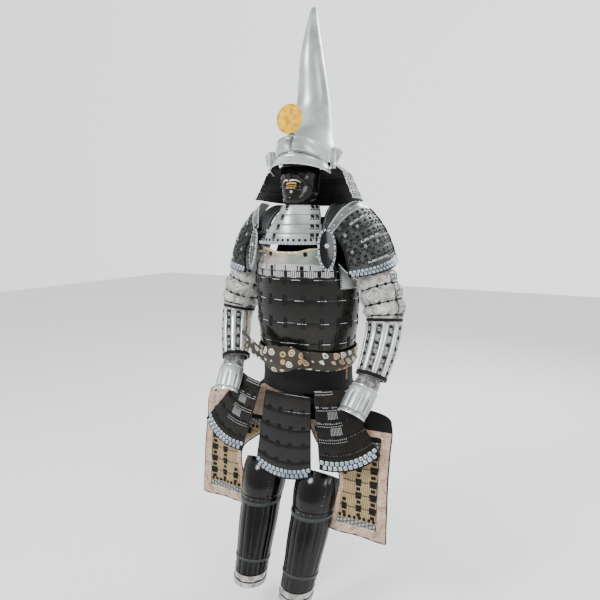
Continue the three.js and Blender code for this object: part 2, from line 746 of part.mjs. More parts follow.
// Points down the guard's front edge to its rear edge: the top edge lies over the shoulder,
// and the lower edge hangs lower at the front.
const SHOULDER_GUARD = [
  { at: 0, topX: 128, topY: -110, topZ: 1300, lowX: 196, lowY: -92, lowZ: 1150 },
  { at: 0.33, topX: 150, topY: -72, topZ: 1352, lowX: 270, lowY: -74, lowZ: 1162 },
  { at: 0.67, topX: 172, topY: -18, topZ: 1382, lowX: 303, lowY: 0, lowZ: 1178 },
  { at: 1, topX: 180, topY: 46, topZ: 1380, lowX: 288, lowY: 88, lowZ: 1192 },
];
const SHOULDER_GUARD_LAMES = 6;
const SHOULDER_LAME_LIFT = 2;
const SHOULDER_CAP_SHARE = 0.12;
const SHOULDER_CAP_SEAM = 0.002;
const SHOULDER_BULGE = { size: 22, bluntness: 0.9, end: 0.952, out: { x: 0.8, y: -0.25, z: 0.55 } };
const SHOULDER_CORE = { x: 120, y: 20, z: 1120 };

function shoulderGuardSurface(u, v, sign) {
  const { topX, topY, topZ, lowX, lowY, lowZ } = sample(SHOULDER_GUARD, "at", u);
  const top = mirrored({ x: topX, y: topY, z: topZ }, sign);
  const low = mirrored({ x: lowX, y: lowY, z: lowZ }, sign);
  const { size, bluntness, end, out } = SHOULDER_BULGE;
  const bulge = size * Math.sin(Math.PI * Math.min(1, v / end)) ** bluntness;
  return top.lerp(low, v).addScaledVector(mirrored(out, sign).normalize(), bulge);
}
const shoulderCore = (sign) => () => mirrored(SHOULDER_CORE, sign);

addPair(
  "shoulder_guard_cap",
  (sign) =>
    wall((u, v) => shoulderGuardSurface(u, lerp(0, SHOULDER_CAP_SHARE, v), sign), {
      across: 8,
      rows: even(1),
      thickness: PLATE,
      core: shoulderCore(sign),
    }),
  "silver",
);
addPair(
  "shoulder_guard",
  (sign) =>
    wall((u, v) => shoulderGuardSurface(u, lerp(SHOULDER_CAP_SHARE + SHOULDER_CAP_SEAM, 1, v), sign), {
      across: 7,
      rows: lames(SHOULDER_GUARD_LAMES, SHOULDER_LAME_LIFT),
      thickness: PLATE,
      core: shoulderCore(sign),
    }),
  "silverLace",
);

// ---------------------------------------------------------------- sleeves

// One path from shoulder to wrist carries both sleeve pieces, which meet at the elbow.
const UPPER_ARM_PATH = [
  { x: 178, y: 8, z: 1312 },
  { x: 214, y: 8, z: 1238 },
  { x: 236, y: 5, z: 1170 },
  { x: 262, y: 0, z: 1100 },
  { x: 281, y: -6, z: 1030 },
  { x: 284, y: -18, z: 975 },
];
const FOREARM_PATH = {
  left: [
    { x: 281, y: -52, z: 908 },
    { x: 272, y: -92, z: 836 },
  ],
  right: [
    { x: 268, y: -52, z: 908 },
    { x: 244, y: -92, z: 838 },
  ],
};
const ELBOW = 0.618;
// The sleeve is tied in bands, so it puffs between them.
const ARM_GIRTH = [
  { at: 0, wide: 36, deep: 46 },
  { at: 0.143, wide: 48, deep: 52 },
  { at: 0.286, wide: 48, deep: 54 },
  { at: 0.31, wide: 50, deep: 55 },
  { at: 0.35, wide: 65, deep: 64 },
  { at: 0.4, wide: 61, deep: 60 },
  { at: 0.449, wide: 70, deep: 67 },
  { at: 0.5, wide: 62, deep: 61 },
  { at: 0.543, wide: 68, deep: 63 },
  { at: 0.59, wide: 58, deep: 56 },
  { at: 0.618, wide: 56, deep: 55 },
  { at: 0.7, wide: 52, deep: 51 },
  { at: 0.857, wide: 50, deep: 46 },
  { at: 1, wide: 44, deep: 39 },
];

/** A point on a tube round a path; angle 0 faces the wearer's front, 90 degrees outwards. */
function limbPoint(curve, girth, angle, v, sign, outward = 0) {
  const middle = curve.getPoint(v);
  const along = curve.getTangent(v);
  const outer = new THREE.Vector3(sign, 0, 0).addScaledVector(along, -sign * along.x).normalize();
  const ahead = new THREE.Vector3().crossVectors(along, outer).normalize();
  if (ahead.y > 0) ahead.negate();
  const { wide, deep } = sample(girth, "at", v);
  return middle
    .addScaledVector(outer, (wide + outward) * Math.sin(angle))
    .addScaledVector(ahead, (deep + outward) * Math.cos(angle));
}

const armCurves = Object.fromEntries(
  SIDES.map(({ side, sign }) => [side, curveThrough([...UPPER_ARM_PATH, ...FOREARM_PATH[side]], sign)]),
);

/** A piece of sleeve between two places on the arm. */
function sleeve(sign, side, start, end) {
  const curve = armCurves[side];
  const inside = ARM_GIRTH.filter(({ at }) => at > start + 0.01 && at < end - 0.01);
  const places = [start, ...inside.map(({ at }) => at), end];
  return wall((u, v) => limbPoint(curve, ARM_GIRTH, u * 2 * Math.PI, lerp(start, end, v), sign), {
    across: 12,
    rows: places.map((place) => ({ at: (place - start) / (end - start), lift: 0 })),
    thickness: CLOTH,
    core: (u, v) => curve.getPoint(lerp(start, end, v)),
    loop: true,
  });
}
const ELBOW_SEAM = 0.001;
addPair("sleeve_upper", (sign, side) => sleeve(sign, side, 0, ELBOW - ELBOW_SEAM), "sleeveCloth");
addPair("sleeve_lower", (sign, side) => sleeve(sign, side, ELBOW + ELBOW_SEAM, 1), "sleeveCloth");

// Seven long splints on the outside of the forearm.
const SPLINTS = 7;
const SPLINT_SWEEP = [degToRad(-75), degToRad(200)];
const SPLINT_CLEARANCE = 3.2; // the sleeve under them is faceted
const SPLINT_LIFT = 3;
const SPLINT_ENDS = [0.65, 0.985];
addPair(
  "forearm_splints",
  (sign, side) => {
    const curve = armCurves[side];
    const outward = SPLINT_CLEARANCE + PLATE;
    return wall(
      (u, v) => {
        const place = lerp(...SPLINT_ENDS, v);
        return limbPoint(curve, ARM_GIRTH, lerp(...SPLINT_SWEEP, u), place, sign, outward);
      },
      {
        across: SPLINTS * 2,
        rows: even(3),
        thickness: PLATE,
        core: (u, v) => curve.getPoint(lerp(...SPLINT_ENDS, v)),
        relief: (u) => (Math.round(u * SPLINTS * 2) % 2 ? SPLINT_LIFT : 0),
      },
    );
  },
  "silver",
);

// Hand guards: arched plates over the back of the hand, from the wrist to the knuckles.
const HAND_PATH = {
  left: [
    { x: 268, y: -108, z: 826 },
    { x: 243, y: -178, z: 736 },
  ],
  right: [
    { x: 240, y: -108, z: 830 },
    { x: 226, y: -176, z: 738 },
  ],
};
const HAND_GIRTH = [
  { at: 0, wide: 42, deep: 34 },
  { at: 0.5, wide: 46, deep: 36 },
  { at: 1, wide: 44, deep: 32 },
];
const HAND_SWEEP = degToRad(98);
addPair(
  "hand_guard",
  (sign, side) => {
    const curve = curveThrough(HAND_PATH[side], sign);
    return wall(
      (u, v) => limbPoint(curve, HAND_GIRTH, lerp(-HAND_SWEEP, HAND_SWEEP, u), v, sign),
      { across: 10, rows: even(3), thickness: PLATE, core: (u, v) => curve.getPoint(v) },
    );
  },
  "silver",
);

// ---------------------------------------------------------------- thigh guards

// An apron for each thigh: narrow at the waist, wide from the hip down.
const THIGH_GUARD = [
  { height: 846, inner: 24, outer: 88, y: -74 },
  { height: 800, inner: 28, outer: 96, y: -82 },
  { height: 766, inner: 34, outer: 106, y: -86 },
  { height: 742, inner: 40, outer: 190, y: -104 },
  { height: 728, inner: 48, outer: 318, y: -116 },
  { height: 700, inner: 60, outer: 351, y: -124 },
  { height: 610, inner: 100, outer: 353, y: -134 },
  { height: 530, inner: 186, outer: 354, y: -146 },
  { height: 420, inner: 182, outer: 356, y: -152 },
  { height: 326, inner: 164, outer: 358, y: -157 },
];
const THIGH_WAVE = { size: 3, across: 9, down: 3 }; // the cloth's ripple, stronger towards the hem
const THIGH_WRAP = 16; // how far its outer edge turns back round the hip

function thighSurface(u, v, sign) {
  const z = lerp(THIGH_GUARD[0].height, THIGH_GUARD.at(-1).height, v);
  const { inner, outer, y } = sample(THIGH_GUARD, "height", z);
  const wave = THIGH_WAVE.size * Math.sin(u * THIGH_WAVE.across + v * THIGH_WAVE.down) * v;
  const wrap = THIGH_WRAP * u ** 3 * (1 - v);
  return mirrored({ x: lerp(inner, outer, u), y: y + wave + wrap, z }, sign);
}
const behindThighs = () => new THREE.Vector3(0, 400, THIGH_GUARD.at(-1).height);
addPair(
  "thigh_guard",
  (sign) => {
    const [first, last] = [THIGH_GUARD[0].height, THIGH_GUARD.at(-1).height];
    return wall((u, v) => thighSurface(u, v, sign), {
      across: 7,
      rows: THIGH_GUARD.map(({ height }) => ({ at: (height - first) / (last - first), lift: 0 })),
      thickness: HEAVY_CLOTH,
      core: behindThighs,
    });
  },
  "brocade",
);

// ---------------------------------------------------------------- shin guards

// The leg leans: the ankle stands ahead of the knee.
const LEG = { kneeX: 104, kneeY: -132, kneeHeight: 440, leanX: 0.045, leanY: 0.385 };
const LEG_GIRTH = [
  { height: 516, wide: 66, deep: 60 },
  { height: 480, wide: 77, deep: 74 },
  { height: 430, wide: 78, deep: 76 },
  { height: 372, wide: 70, deep: 66 },
  { height: 300, wide: 67, deep: 62 },
  { height: 220, wide: 60, deep: 57 },
  { height: 152, wide: 55, deep: 53 },
  { height: 118, wide: 55, deep: 53 },
];

function legPoint(angle, height, sign) {
  const { kneeX, kneeY, kneeHeight, leanX, leanY } = LEG;
  const rise = height - kneeHeight;
  const { wide, deep } = sample(LEG_GIRTH, "height", height);
  const x = kneeX + leanX * rise + wide * Math.sin(angle);
  const y = kneeY + leanY * rise - deep * Math.cos(angle);
  return mirrored({ x, y, z: height }, sign);
}
const legCore = (sign, height) => () =>
  mirrored({ x: LEG.kneeX, y: LEG.kneeY + LEG.leanY * (height - LEG.kneeHeight), z: height }, sign);

const KNEE_GUARD = { low: 368 + SEAM, high: 516, sweep: degToRad(104), arch: 46 };
addPair(
  "knee_guard",
  (sign) =>
    wall(
      (u, v) => {
        const angle = lerp(-KNEE_GUARD.sweep, KNEE_GUARD.sweep, u);
        const high = KNEE_GUARD.high - KNEE_GUARD.arch * (angle / KNEE_GUARD.sweep) ** 2;
        return legPoint(angle, lerp(high, KNEE_GUARD.low, v), sign);
      },
      { across: 12, rows: even(4), thickness: PLATE, core: legCore(sign, LEG.kneeHeight) },
    ),
  "lacquer",
);

const SHIN_GUARD = { low: 152 + 2 * SEAM, high: 368, sweep: degToRad(128), splints: 9, lift: 2 };
addPair(
  "shin_guard",
  (sign) =>
    wall(
      (u, v) =>
        legPoint(
          lerp(-SHIN_GUARD.sweep, SHIN_GUARD.sweep, u),
          lerp(SHIN_GUARD.high, SHIN_GUARD.low, v),
          sign,
        ),
      {
        across: SHIN_GUARD.splints * 2,
        rows: even(2),
        thickness: PLATE,
        core: legCore(sign, (SHIN_GUARD.low + SHIN_GUARD.high) / 2),
        relief: (u) => (Math.round(u * SHIN_GUARD.splints * 2) % 2 ? SHIN_GUARD.lift : 0),
      },
    ),
  "lacquer",
);

const CUFF = { low: 118, high: 152 };
addPair(
  "ankle_cuff",
  (sign) =>
    wall((u, v) => legPoint(u * 2 * Math.PI, lerp(CUFF.high, CUFF.low, v), sign), {
      across: 14,
      rows: even(1),
      thickness: CLOTH,
      core: legCore(sign, CUFF.high),
      loop: true,
    }),
  "sleeveCloth",
);

export default group;
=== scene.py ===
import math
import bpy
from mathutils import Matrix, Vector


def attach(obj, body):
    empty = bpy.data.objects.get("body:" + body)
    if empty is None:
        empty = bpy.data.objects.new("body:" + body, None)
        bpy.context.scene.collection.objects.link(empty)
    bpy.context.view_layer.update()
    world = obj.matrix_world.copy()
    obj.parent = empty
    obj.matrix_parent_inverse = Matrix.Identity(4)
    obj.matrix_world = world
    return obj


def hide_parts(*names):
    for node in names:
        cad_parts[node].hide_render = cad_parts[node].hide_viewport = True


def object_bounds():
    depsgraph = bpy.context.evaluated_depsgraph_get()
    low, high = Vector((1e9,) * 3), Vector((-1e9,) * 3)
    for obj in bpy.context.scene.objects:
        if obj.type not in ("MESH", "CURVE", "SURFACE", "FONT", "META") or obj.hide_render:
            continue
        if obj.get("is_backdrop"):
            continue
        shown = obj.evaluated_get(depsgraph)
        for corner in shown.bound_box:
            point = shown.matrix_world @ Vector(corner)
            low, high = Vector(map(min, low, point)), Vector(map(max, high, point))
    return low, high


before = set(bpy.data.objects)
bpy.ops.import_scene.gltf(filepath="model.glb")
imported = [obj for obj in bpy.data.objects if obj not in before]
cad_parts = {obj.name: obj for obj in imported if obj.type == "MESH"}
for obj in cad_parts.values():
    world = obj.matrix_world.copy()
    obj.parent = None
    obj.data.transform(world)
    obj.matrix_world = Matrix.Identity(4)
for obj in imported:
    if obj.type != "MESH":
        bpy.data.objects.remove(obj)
cad_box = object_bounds()

# A samurai armour as it stands when worn. The forms follow the CAD source's own tables, in
# millimetres above the floor, and are turned to the frame's metres where a mesh is made.
from types import SimpleNamespace

import bpy
import numpy as np

MM = 0.001
SHOULDER_HEIGHT = 1330  # the frame's origin, above the floor
PLATE = 2.4
SEAM = 0.3  # between neighbouring pieces
TURN = 2 * math.pi
Y_AXIS = (0, 1, 0)
SHARP_EDGE = math.radians(38)  # faces that meet at more are shaded apart
LAME_LIFT = 2.6
SIDES = (("left", 1), ("right", -1))

# ---------------------------------------------------------------- general forms


class Table:
    """Named columns on a smooth curve through the rows of a table, by its first column."""

    def __init__(self, columns, rows):
        self.columns = columns.split()
        rows = np.array(rows, float)
        self.rows = rows if rows[-1, 0] > rows[0, 0] else rows[::-1]
        before = np.vstack([self.rows[:1], self.rows[:-1]])
        after = np.vstack([self.rows[1:], self.rows[-1:]])
        self.slopes = (after - before) / (after - before)[:, :1]

    def __call__(self, key):
        keys = self.rows[:, 0]
        key = np.asarray(key, float)
        i = np.clip(np.searchsorted(keys, key, side="right") - 1, 0, len(keys) - 2)
        span = keys[i + 1] - keys[i]
        t = np.clip((key - keys[i]) / span, 0, 1)
        found = {}
        for j, column in enumerate(self.columns[1:], 1):
            a, b = self.rows[i, j], self.rows[i + 1, j]
            rise, fall = self.slopes[i, j] * span, self.slopes[i + 1, j] * span
            found[column] = (
                a * (1 + 2 * t) * (1 - t) ** 2 + rise * t * (1 - t) ** 2
                + b * (3 - 2 * t) * t**2 + fall * t**2 * (t - 1)
            )
        return SimpleNamespace(**found)


def lerp(a, b, t):
    return a + (b - a) * t


def point(x, y, z):
    return np.stack(np.broadcast_arrays(np.asarray(x, float), y, z), axis=-1)


def unit(vectors):
    return vectors / np.maximum(np.linalg.norm(vectors, axis=-1, keepdims=True), 1e-9)


def oval(ring, angle, outward=0.0):
    """x and y on an oval ring; angle 0 is the front, 90 degrees the wearer's left."""
    middle = (ring.front + ring.back) / 2
    deep = (ring.back - ring.front) / 2
    return (ring.half + outward) * np.sin(angle), middle - (deep + outward) * np.cos(angle)


def shares(count):
    """Evenly spaced from 0 to 1."""
    return np.linspace(0, 1, count)


def wave(turns):
    """A sine wave, once up and down in each turn."""
    return np.sin(TURN * turns)


def bell(x, middle, width):
    return np.exp(-(((x - middle) / width) ** 2))


class Curve:
    """A smooth curve through points by share of its length, as three.js's centripetal one."""

    def __init__(self, points, sign=1):
        p = np.array(points, float) * (sign, 1, 1)
        p = np.vstack([2 * p[0] - p[1], p, 2 * p[-1] - p[-2]])
        fine = []
        for a, b, c, d in zip(p, p[1:], p[2:], p[3:]):
            gaps = [max(np.linalg.norm(y - x), 1e-6) ** 0.5 for x, y in ((a, b), (b, c), (c, d))]
            m1 = ((b - a) / gaps[0] - (c - a) / (gaps[0] + gaps[1]) + (c - b) / gaps[1]) * gaps[1]
            m2 = ((c - b) / gaps[1] - (d - b) / (gaps[1] + gaps[2]) + (d - c) / gaps[2]) * gaps[1]
            t = shares(41)[:-1, None]
            fine.append(
                b + m1 * t + (3 * (c - b) - 2 * m1 - m2) * t**2 + (2 * (b - c) + m1 + m2) * t**3
            )
        self.fine = np.vstack([*fine, p[-2:-1]])
        self.shares = np.linspace(0, 1, len(self.fine))

    def at(self, share):
        share = np.asarray(share, float)
        return np.stack([np.interp(share, self.shares, self.fine[:, k]) for k in range(3)], -1)

    def along(self, share):
        step = 0.01
        return unit(self.at(np.minimum(share + step, 1)) - self.at(np.maximum(share - step, 0)))


def fixed(place):
    """A core that is one point."""
    return lambda u, v: place + 0 * np.asarray(u)[..., None]


def axis(height):
    """A core for forms that stand round the body's middle."""
    return fixed(point(0, 0, height))


class Form:
    """A surface(u, v) with a core(u, v) on the wearer's side of it."""

    def __init__(self, surface, core):
        self.surface = surface
        self.core = core

    def at(self, u, v, lift=0.0):
        """Points on the surface with their directions across, down and out."""
        step = 1e-3
        u, v = np.broadcast_arrays(np.asarray(u, float), np.asarray(v, float))
        middle = self.surface(u, v)
        across = unit(self.surface(u + step, v) - self.surface(u - step, v))
        down = unit(self.surface(u, v + step) - self.surface(u, v - step))
        out = unit(np.cross(across, down))
        inward = np.sum(out * (middle - self.core(u, v)), axis=-1, keepdims=True) < 0
        out = np.where(inward, -out, out)
        return middle + out * np.asarray(lift)[..., None], across, np.cross(across, out), out

    def width(self, v=0.5):
        u = shares(60)
        return np.linalg.norm(np.diff(self.surface(u, v + 0 * u), axis=0), axis=1).sum()

    def height(self, u=0.5):
        v = shares(60)
        return np.linalg.norm(np.diff(self.surface(u + 0 * v, v), axis=0), axis=1).sum()

    def area(self):
        grid = self.surface(*np.meshgrid(shares(40), shares(120)))
        sides = np.diff(grid, axis=1)[:-1], np.diff(grid, axis=0)[:, :-1]
        return np.linalg.norm(np.cross(*sides), axis=-1).sum()

    def flat(self, gather=1):
        """The cut piece's width and height in metres."""
        return self.width() * gather * MM, self.height() * MM


def travelled(points):
    """The way gone at each point of a line."""
    return np.insert(np.cumsum(np.linalg.norm(np.diff(points, axis=0), axis=1)), 0, 0)


def heading(points, closed):
    """Which way a line runs at each of its points."""
    steps = np.roll(points, -1, 0) - np.roll(points, 1, 0) if closed else np.gradient(points, axis=0)
    return unit(steps)


def placed(name, data):
    """A new object in the scene."""
    made = bpy.data.objects.new(name, data)
    bpy.context.scene.collection.objects.link(made)
    return made


def grid_faces(rows, columns, loop):
    """Quads between neighbouring rows of points."""
    j, i = np.mgrid[0 : rows - 1, 0 : columns if loop else columns - 1]
    j, i = j.ravel(), i.ravel()
    row, below, following = j * columns, (j + 1) * columns, (i + 1) % columns
    return np.stack([row + i, row + following, below + following, below + i], 1)


def run_lengths(points, along):
    """Lengths along a grid of points, in metres, from its middle."""
    steps = np.linalg.norm(np.diff(points, axis=along), axis=-1) * MM
    lengths = np.insert(np.cumsum(steps, axis=along), 0, 0, axis=along)
    return lengths - lengths.max(axis=along, keepdims=True) / 2


class Piece:
    """One mesh put together from many forms, each with its own material."""

    def __init__(self, name, slot, *nodes):
        self.name, self.slot, self.nodes = name, slot, nodes
        self.points, self.cloth, self.faces, self.marks, self.materials = [], [], [], [], []
        self.count = 0

    def mark(self, material):
        if material not in self.materials:
            self.materials.append(material)
        return self.materials.index(material)

    def add(self, points, faces, material, cloth=None):
        """Adds points in floor millimetres, faces as rows of point numbers, and one material."""
        points = np.asarray(points, float).reshape(-1, 3)
        faces = np.asarray(faces, int)
        self.points.append(points)
        self.cloth.append(np.zeros((len(points), 2)) if cloth is None else cloth.reshape(-1, 2))
        self.faces.extend((faces + self.count).tolist())
        marks = np.full(len(faces), self.mark(material)) if isinstance(material, str) else material
        self.marks.extend(np.asarray(marks).tolist())
        self.count += len(points)

    def caps(self, faces, material=None):
        """Faces of many sides that close what add made; without a material, in the first one."""
        self.faces.extend(np.asarray(faces).tolist())
        self.marks.extend([self.mark(material) if material else 0] * len(faces))

    def shell(self, form, columns, rows, outside, inside="lining", thickness=PLATE, loop=False,
              relief=None, edge=None):
        """A wall. rows are (v, lift) pairs; outside is a material, or (names, zones(u, v))."""
        places = np.array([row if hasattr(row, "__len__") else (row, 0.0) for row in rows], float)
        u = shares(columns + 1)[: columns if loop else None]
        u, v = np.meshgrid(u, places[:, 0])
        lift = places[:, 1:2] + 0 * u
        if relief:
            lift = lift + relief(u, v)
        outer, _, _, out = form.at(u, v, lift)
        deep = thickness(u, v) if callable(thickness) else thickness + 0 * u
        inner = form.surface(u, v) - out * deep[..., None]
        cloth = np.stack([run_lengths(outer, 1), run_lengths(outer, 0)], -1)
        shape, size = u.shape, u.size
        faces = grid_faces(*shape, loop)
        flip = self._faces_inwards(outer, out, faces)
        if isinstance(outside, str):
            marks = np.full(len(faces), self.mark(outside))
        else:
            names, zones = outside
            index = np.array([self.mark(name) for name in names])
            flat_u, flat_v = u.ravel()[faces], v.ravel()[faces]
            if loop:
                flat_u = np.where(flat_u < flat_u[:, :1] - 0.5, 1.0, flat_u)
            marks = index[np.asarray(zones(flat_u.mean(1), flat_v.mean(1)), int)]
        turn = (lambda f: f[:, ::-1]) if flip else (lambda f: f)
        grid = np.arange(size).reshape(shape)
        lines = [(grid[0], True), (grid[-1], False)]
        if not loop:
            lines += [(grid[:, 0], False), (grid[:, -1], True)]
        rim = []
        for line, back in lines:
            line = np.append(line, line[0]) if loop else line
            near, far = line[:-1], line[1:]
            quads = np.stack([near, near + size, far + size, far], 1)
            rim.append(quads if back else quads[:, ::-1])
        rim = np.vstack(rim)
        everything = np.vstack([turn(faces), turn(faces[:, ::-1] + size), turn(rim)])
        edge = edge or (outside if isinstance(outside, str) else outside[0][0])
        all_marks = np.concatenate(
            [marks, np.full(len(faces), self.mark(inside)), np.full(len(rim), self.mark(edge))]
        )
        both = np.vstack([outer.reshape(-1, 3), inner.reshape(-1, 3)])
        cloth = cloth.reshape(-1, 2)
        self.add(both, everything, all_marks, np.vstack([cloth, cloth]))

    @staticmethod
    def _faces_inwards(points, out, faces):
        flat = points.reshape(-1, 3)
        a, b, c = (flat[faces[:, k]] for k in (0, 1, 2))
        facing = np.cross(b - a, c - a)
        return np.sum(facing * out.reshape(-1, 3)[faces[:, 0]]) < 0

    def studs(self, places, outline, profile, size, material):
        """Small raised forms: outline is a unit loop, profile rows of (scale, height)."""
        middle, across, down, out = (np.atleast_2d(part) for part in places)
        width, tall, high = (np.broadcast_to(np.asarray(part, float), len(middle)) for part in size)
        outline = np.asarray(outline, float)
        rings = []
        for scale, height in profile:
            rings.append(
                middle[:, None]
                + across[:, None] * (outline[:, 0] * scale * width[:, None])[..., None]
                + down[:, None] * (outline[:, 1] * scale * tall[:, None])[..., None]
                + out[:, None] * (height * high)[:, None, None]
            )
        points = np.stack(rings, 1)
        count, rows, sides = points.shape[:3]
        faces = grid_faces(rows, sides, True)
        starts = np.arange(count)[:, None, None] * rows * sides
        quads = (faces + starts).reshape(-1, 4)
        caps = ((rows - 1) * sides + np.arange(sides))[None] + starts[:, 0]
        hand = np.sum(np.cross(across[0], down[0]) * out[0])
        flat = points.reshape(-1, 3)
        cloth = np.tile(np.tile(outline, (rows, 1)), (count, 1))
        cloth = cloth * np.repeat(np.stack([width, tall], 1), rows * sides, 0) * MM
        start = self.count
        self.add(flat, quads if hand > 0 else quads[:, ::-1], material, cloth)
        self.caps((caps if hand > 0 else caps[:, ::-1]) + start, material)

    def domes(self, places, size, material):
        self.studs(places, ROUND, DOME, size, material)

    def pads(self, places, size, material):
        self.studs(places, SQUARE, PAD, size, material)

    def bars(self, places, size, material):
        self.studs(places, BAR, PAD, size, material)

    def sweep(self, middles, across, out, section, material, closed=False):
        """A section of (across, out) points carried along a line; a section may change along it."""
        middles = np.asarray(middles, float)
        section = np.asarray(section, float)
        if section.ndim == 2:
            section = np.broadcast_to(section, (len(middles), *section.shape))
        points = middles[:, None] + across[:, None] * section[..., :1] + out[:, None] * section[..., 1:]
        rows, sides = points.shape[:2]
        cloth = np.stack(np.meshgrid(travelled(section[0]), travelled(middles)), -1) * MM
        faces = grid_faces(rows, sides, True)
        if closed:
            last = (rows - 1) * sides + np.arange(sides)
            first = np.arange(sides)
            seam = np.stack([last, np.roll(last, -1), np.roll(first, -1), first], 1)
            faces = np.vstack([faces, seam])
        flat = points.reshape(-1, 3)
        flip = self._faces_inwards(flat, flat - np.repeat(middles, sides, 0), faces)
        start = self.count
        self.add(flat, faces[:, ::-1] if flip else faces, material, cloth)
        if not closed:
            ends = np.array([np.arange(sides)[::-1], (rows - 1) * sides + np.arange(sides)]) + start
            self.caps(ends[:, ::-1] if flip else ends, material)

    def tube(self, middles, radius, material, closed=False, sides=6, twist=0.0, guide=(0, 0, 1)):
        """A round cord along points; twist, in turns a metre, gives it two strands."""
        middles = np.asarray(middles, float)
        along = heading(middles, closed)
        across = unit(np.cross(along, np.asarray(guide, float)) + 1e-6)
        out = np.cross(along, across)
        lengths = travelled(middles)
        angles = np.linspace(0, TURN, sides, endpoint=False)
        radius = np.broadcast_to(np.asarray(radius, float), len(middles))[:, None]
        if twist:
            turns = np.round(lengths[-1] * MM * twist) if closed else lengths[-1] * MM * twist
            phase = (lengths / lengths[-1] * turns * TURN)[:, None]
            radius = radius * (1 + 0.22 * np.cos(2 * (angles[None] - phase)))
        else:
            radius = radius + 0 * angles[None]
        section = np.stack([radius * np.cos(angles), radius * np.sin(angles)], -1)
        self.sweep(middles, across, out, section, material, closed)

    def edge(self, form, u, v, radius, material, lift=0.0, **how):
        """A cord or rolled rim along a line on a form."""
        u, v = np.broadcast_arrays(np.asarray(u, float), np.asarray(v, float))
        self.tube(form.at(u, v, lift)[0], radius, material, **how)

    def rims(self, form, sides, v, *what, **how):
        """The same edge on several columns of a form."""
        for side in sides:
            self.edge(form, side, v, *what, **how)

    def strap(self, form, u, v, width, thick, material, lift=0.5, closed=False):
        """A flat band that lies along a line on a form."""
        u, v = np.broadcast_arrays(np.asarray(u, float), np.asarray(v, float))
        middle, _, _, out = form.at(u, v, lift)
        across = unit(np.cross(heading(middle, closed), out))
        w, t = width / 2, thick
        section = [(-w, -0.6), (-w * 0.92, t), (w * 0.92, t), (w, -0.6)]
        self.sweep(middle, across, out, section, material, closed)

    def build(self):
        mesh = bpy.data.meshes.new(self.name)
        points = (np.vstack(self.points) - (0, 0, SHOULDER_HEIGHT)) * MM
        mesh.from_pydata(points.tolist(), [], self.faces)
        for name in self.materials:
            mesh.materials.append(MATERIALS[name])
        mesh.polygons.foreach_set("material_index", self.marks)
        mesh.polygons.foreach_set("use_smooth", np.ones(len(self.faces), bool))
        numbers = np.empty(len(mesh.loops), int)
        mesh.loops.foreach_get("vertex_index", numbers)
        layer = mesh.uv_layers.new(name="cloth")
        layer.data.foreach_set("uv", np.vstack(self.cloth)[numbers].ravel())
        mesh.update()
        mesh.set_sharp_from_angle(angle=SHARP_EDGE)
        made = placed(self.name, mesh)
        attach(made, "root")
        if self.nodes:
            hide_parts(*self.nodes)
        return made


def loop_outline(sides):
    angles = np.linspace(0, TURN, sides, endpoint=False)
    return np.stack([np.cos(angles), np.sin(angles)], 1) / 2


SQUARE = np.array([
    (-0.38, -0.5), (0.38, -0.5), (0.5, -0.38), (0.5, 0.38),
    (0.38, 0.5), (-0.38, 0.5), (-0.5, 0.38), (-0.5, -0.38),
])  # fmt: skip
BAR = np.array([(-0.5, -0.5), (0.5, -0.5), (0.5, 0.5), (-0.5, 0.5)])
ROUND = loop_outline(8)
PAD = ((1, -0.5), (1, 0.6), (0.78, 1))
DOME = ((1, -0.4), (0.94, 0.35), (0.7, 0.8), (0.35, 1))
LAME_PROFILE = (
    (0, 0.25), (0.02, 0.78), (0.055, 1), (0.25, 0.93), (0.5, 0.7), (0.8, 0.3), (0.97, 0.04), (1, 0),
)  # fmt: skip


def lame_rows(count=1, lift=LAME_LIFT):
    """Rows down a stack of lames: each has a rounded proud upper edge and slopes in below."""
    return [((i + share) / count, lift * high) for i in range(count) for share, high in LAME_PROFILE]


def even(count):
    """Rows of a smooth wall."""
    return [i / count for i in range(count + 1)]


# ---------------------------------------------------------------- materials


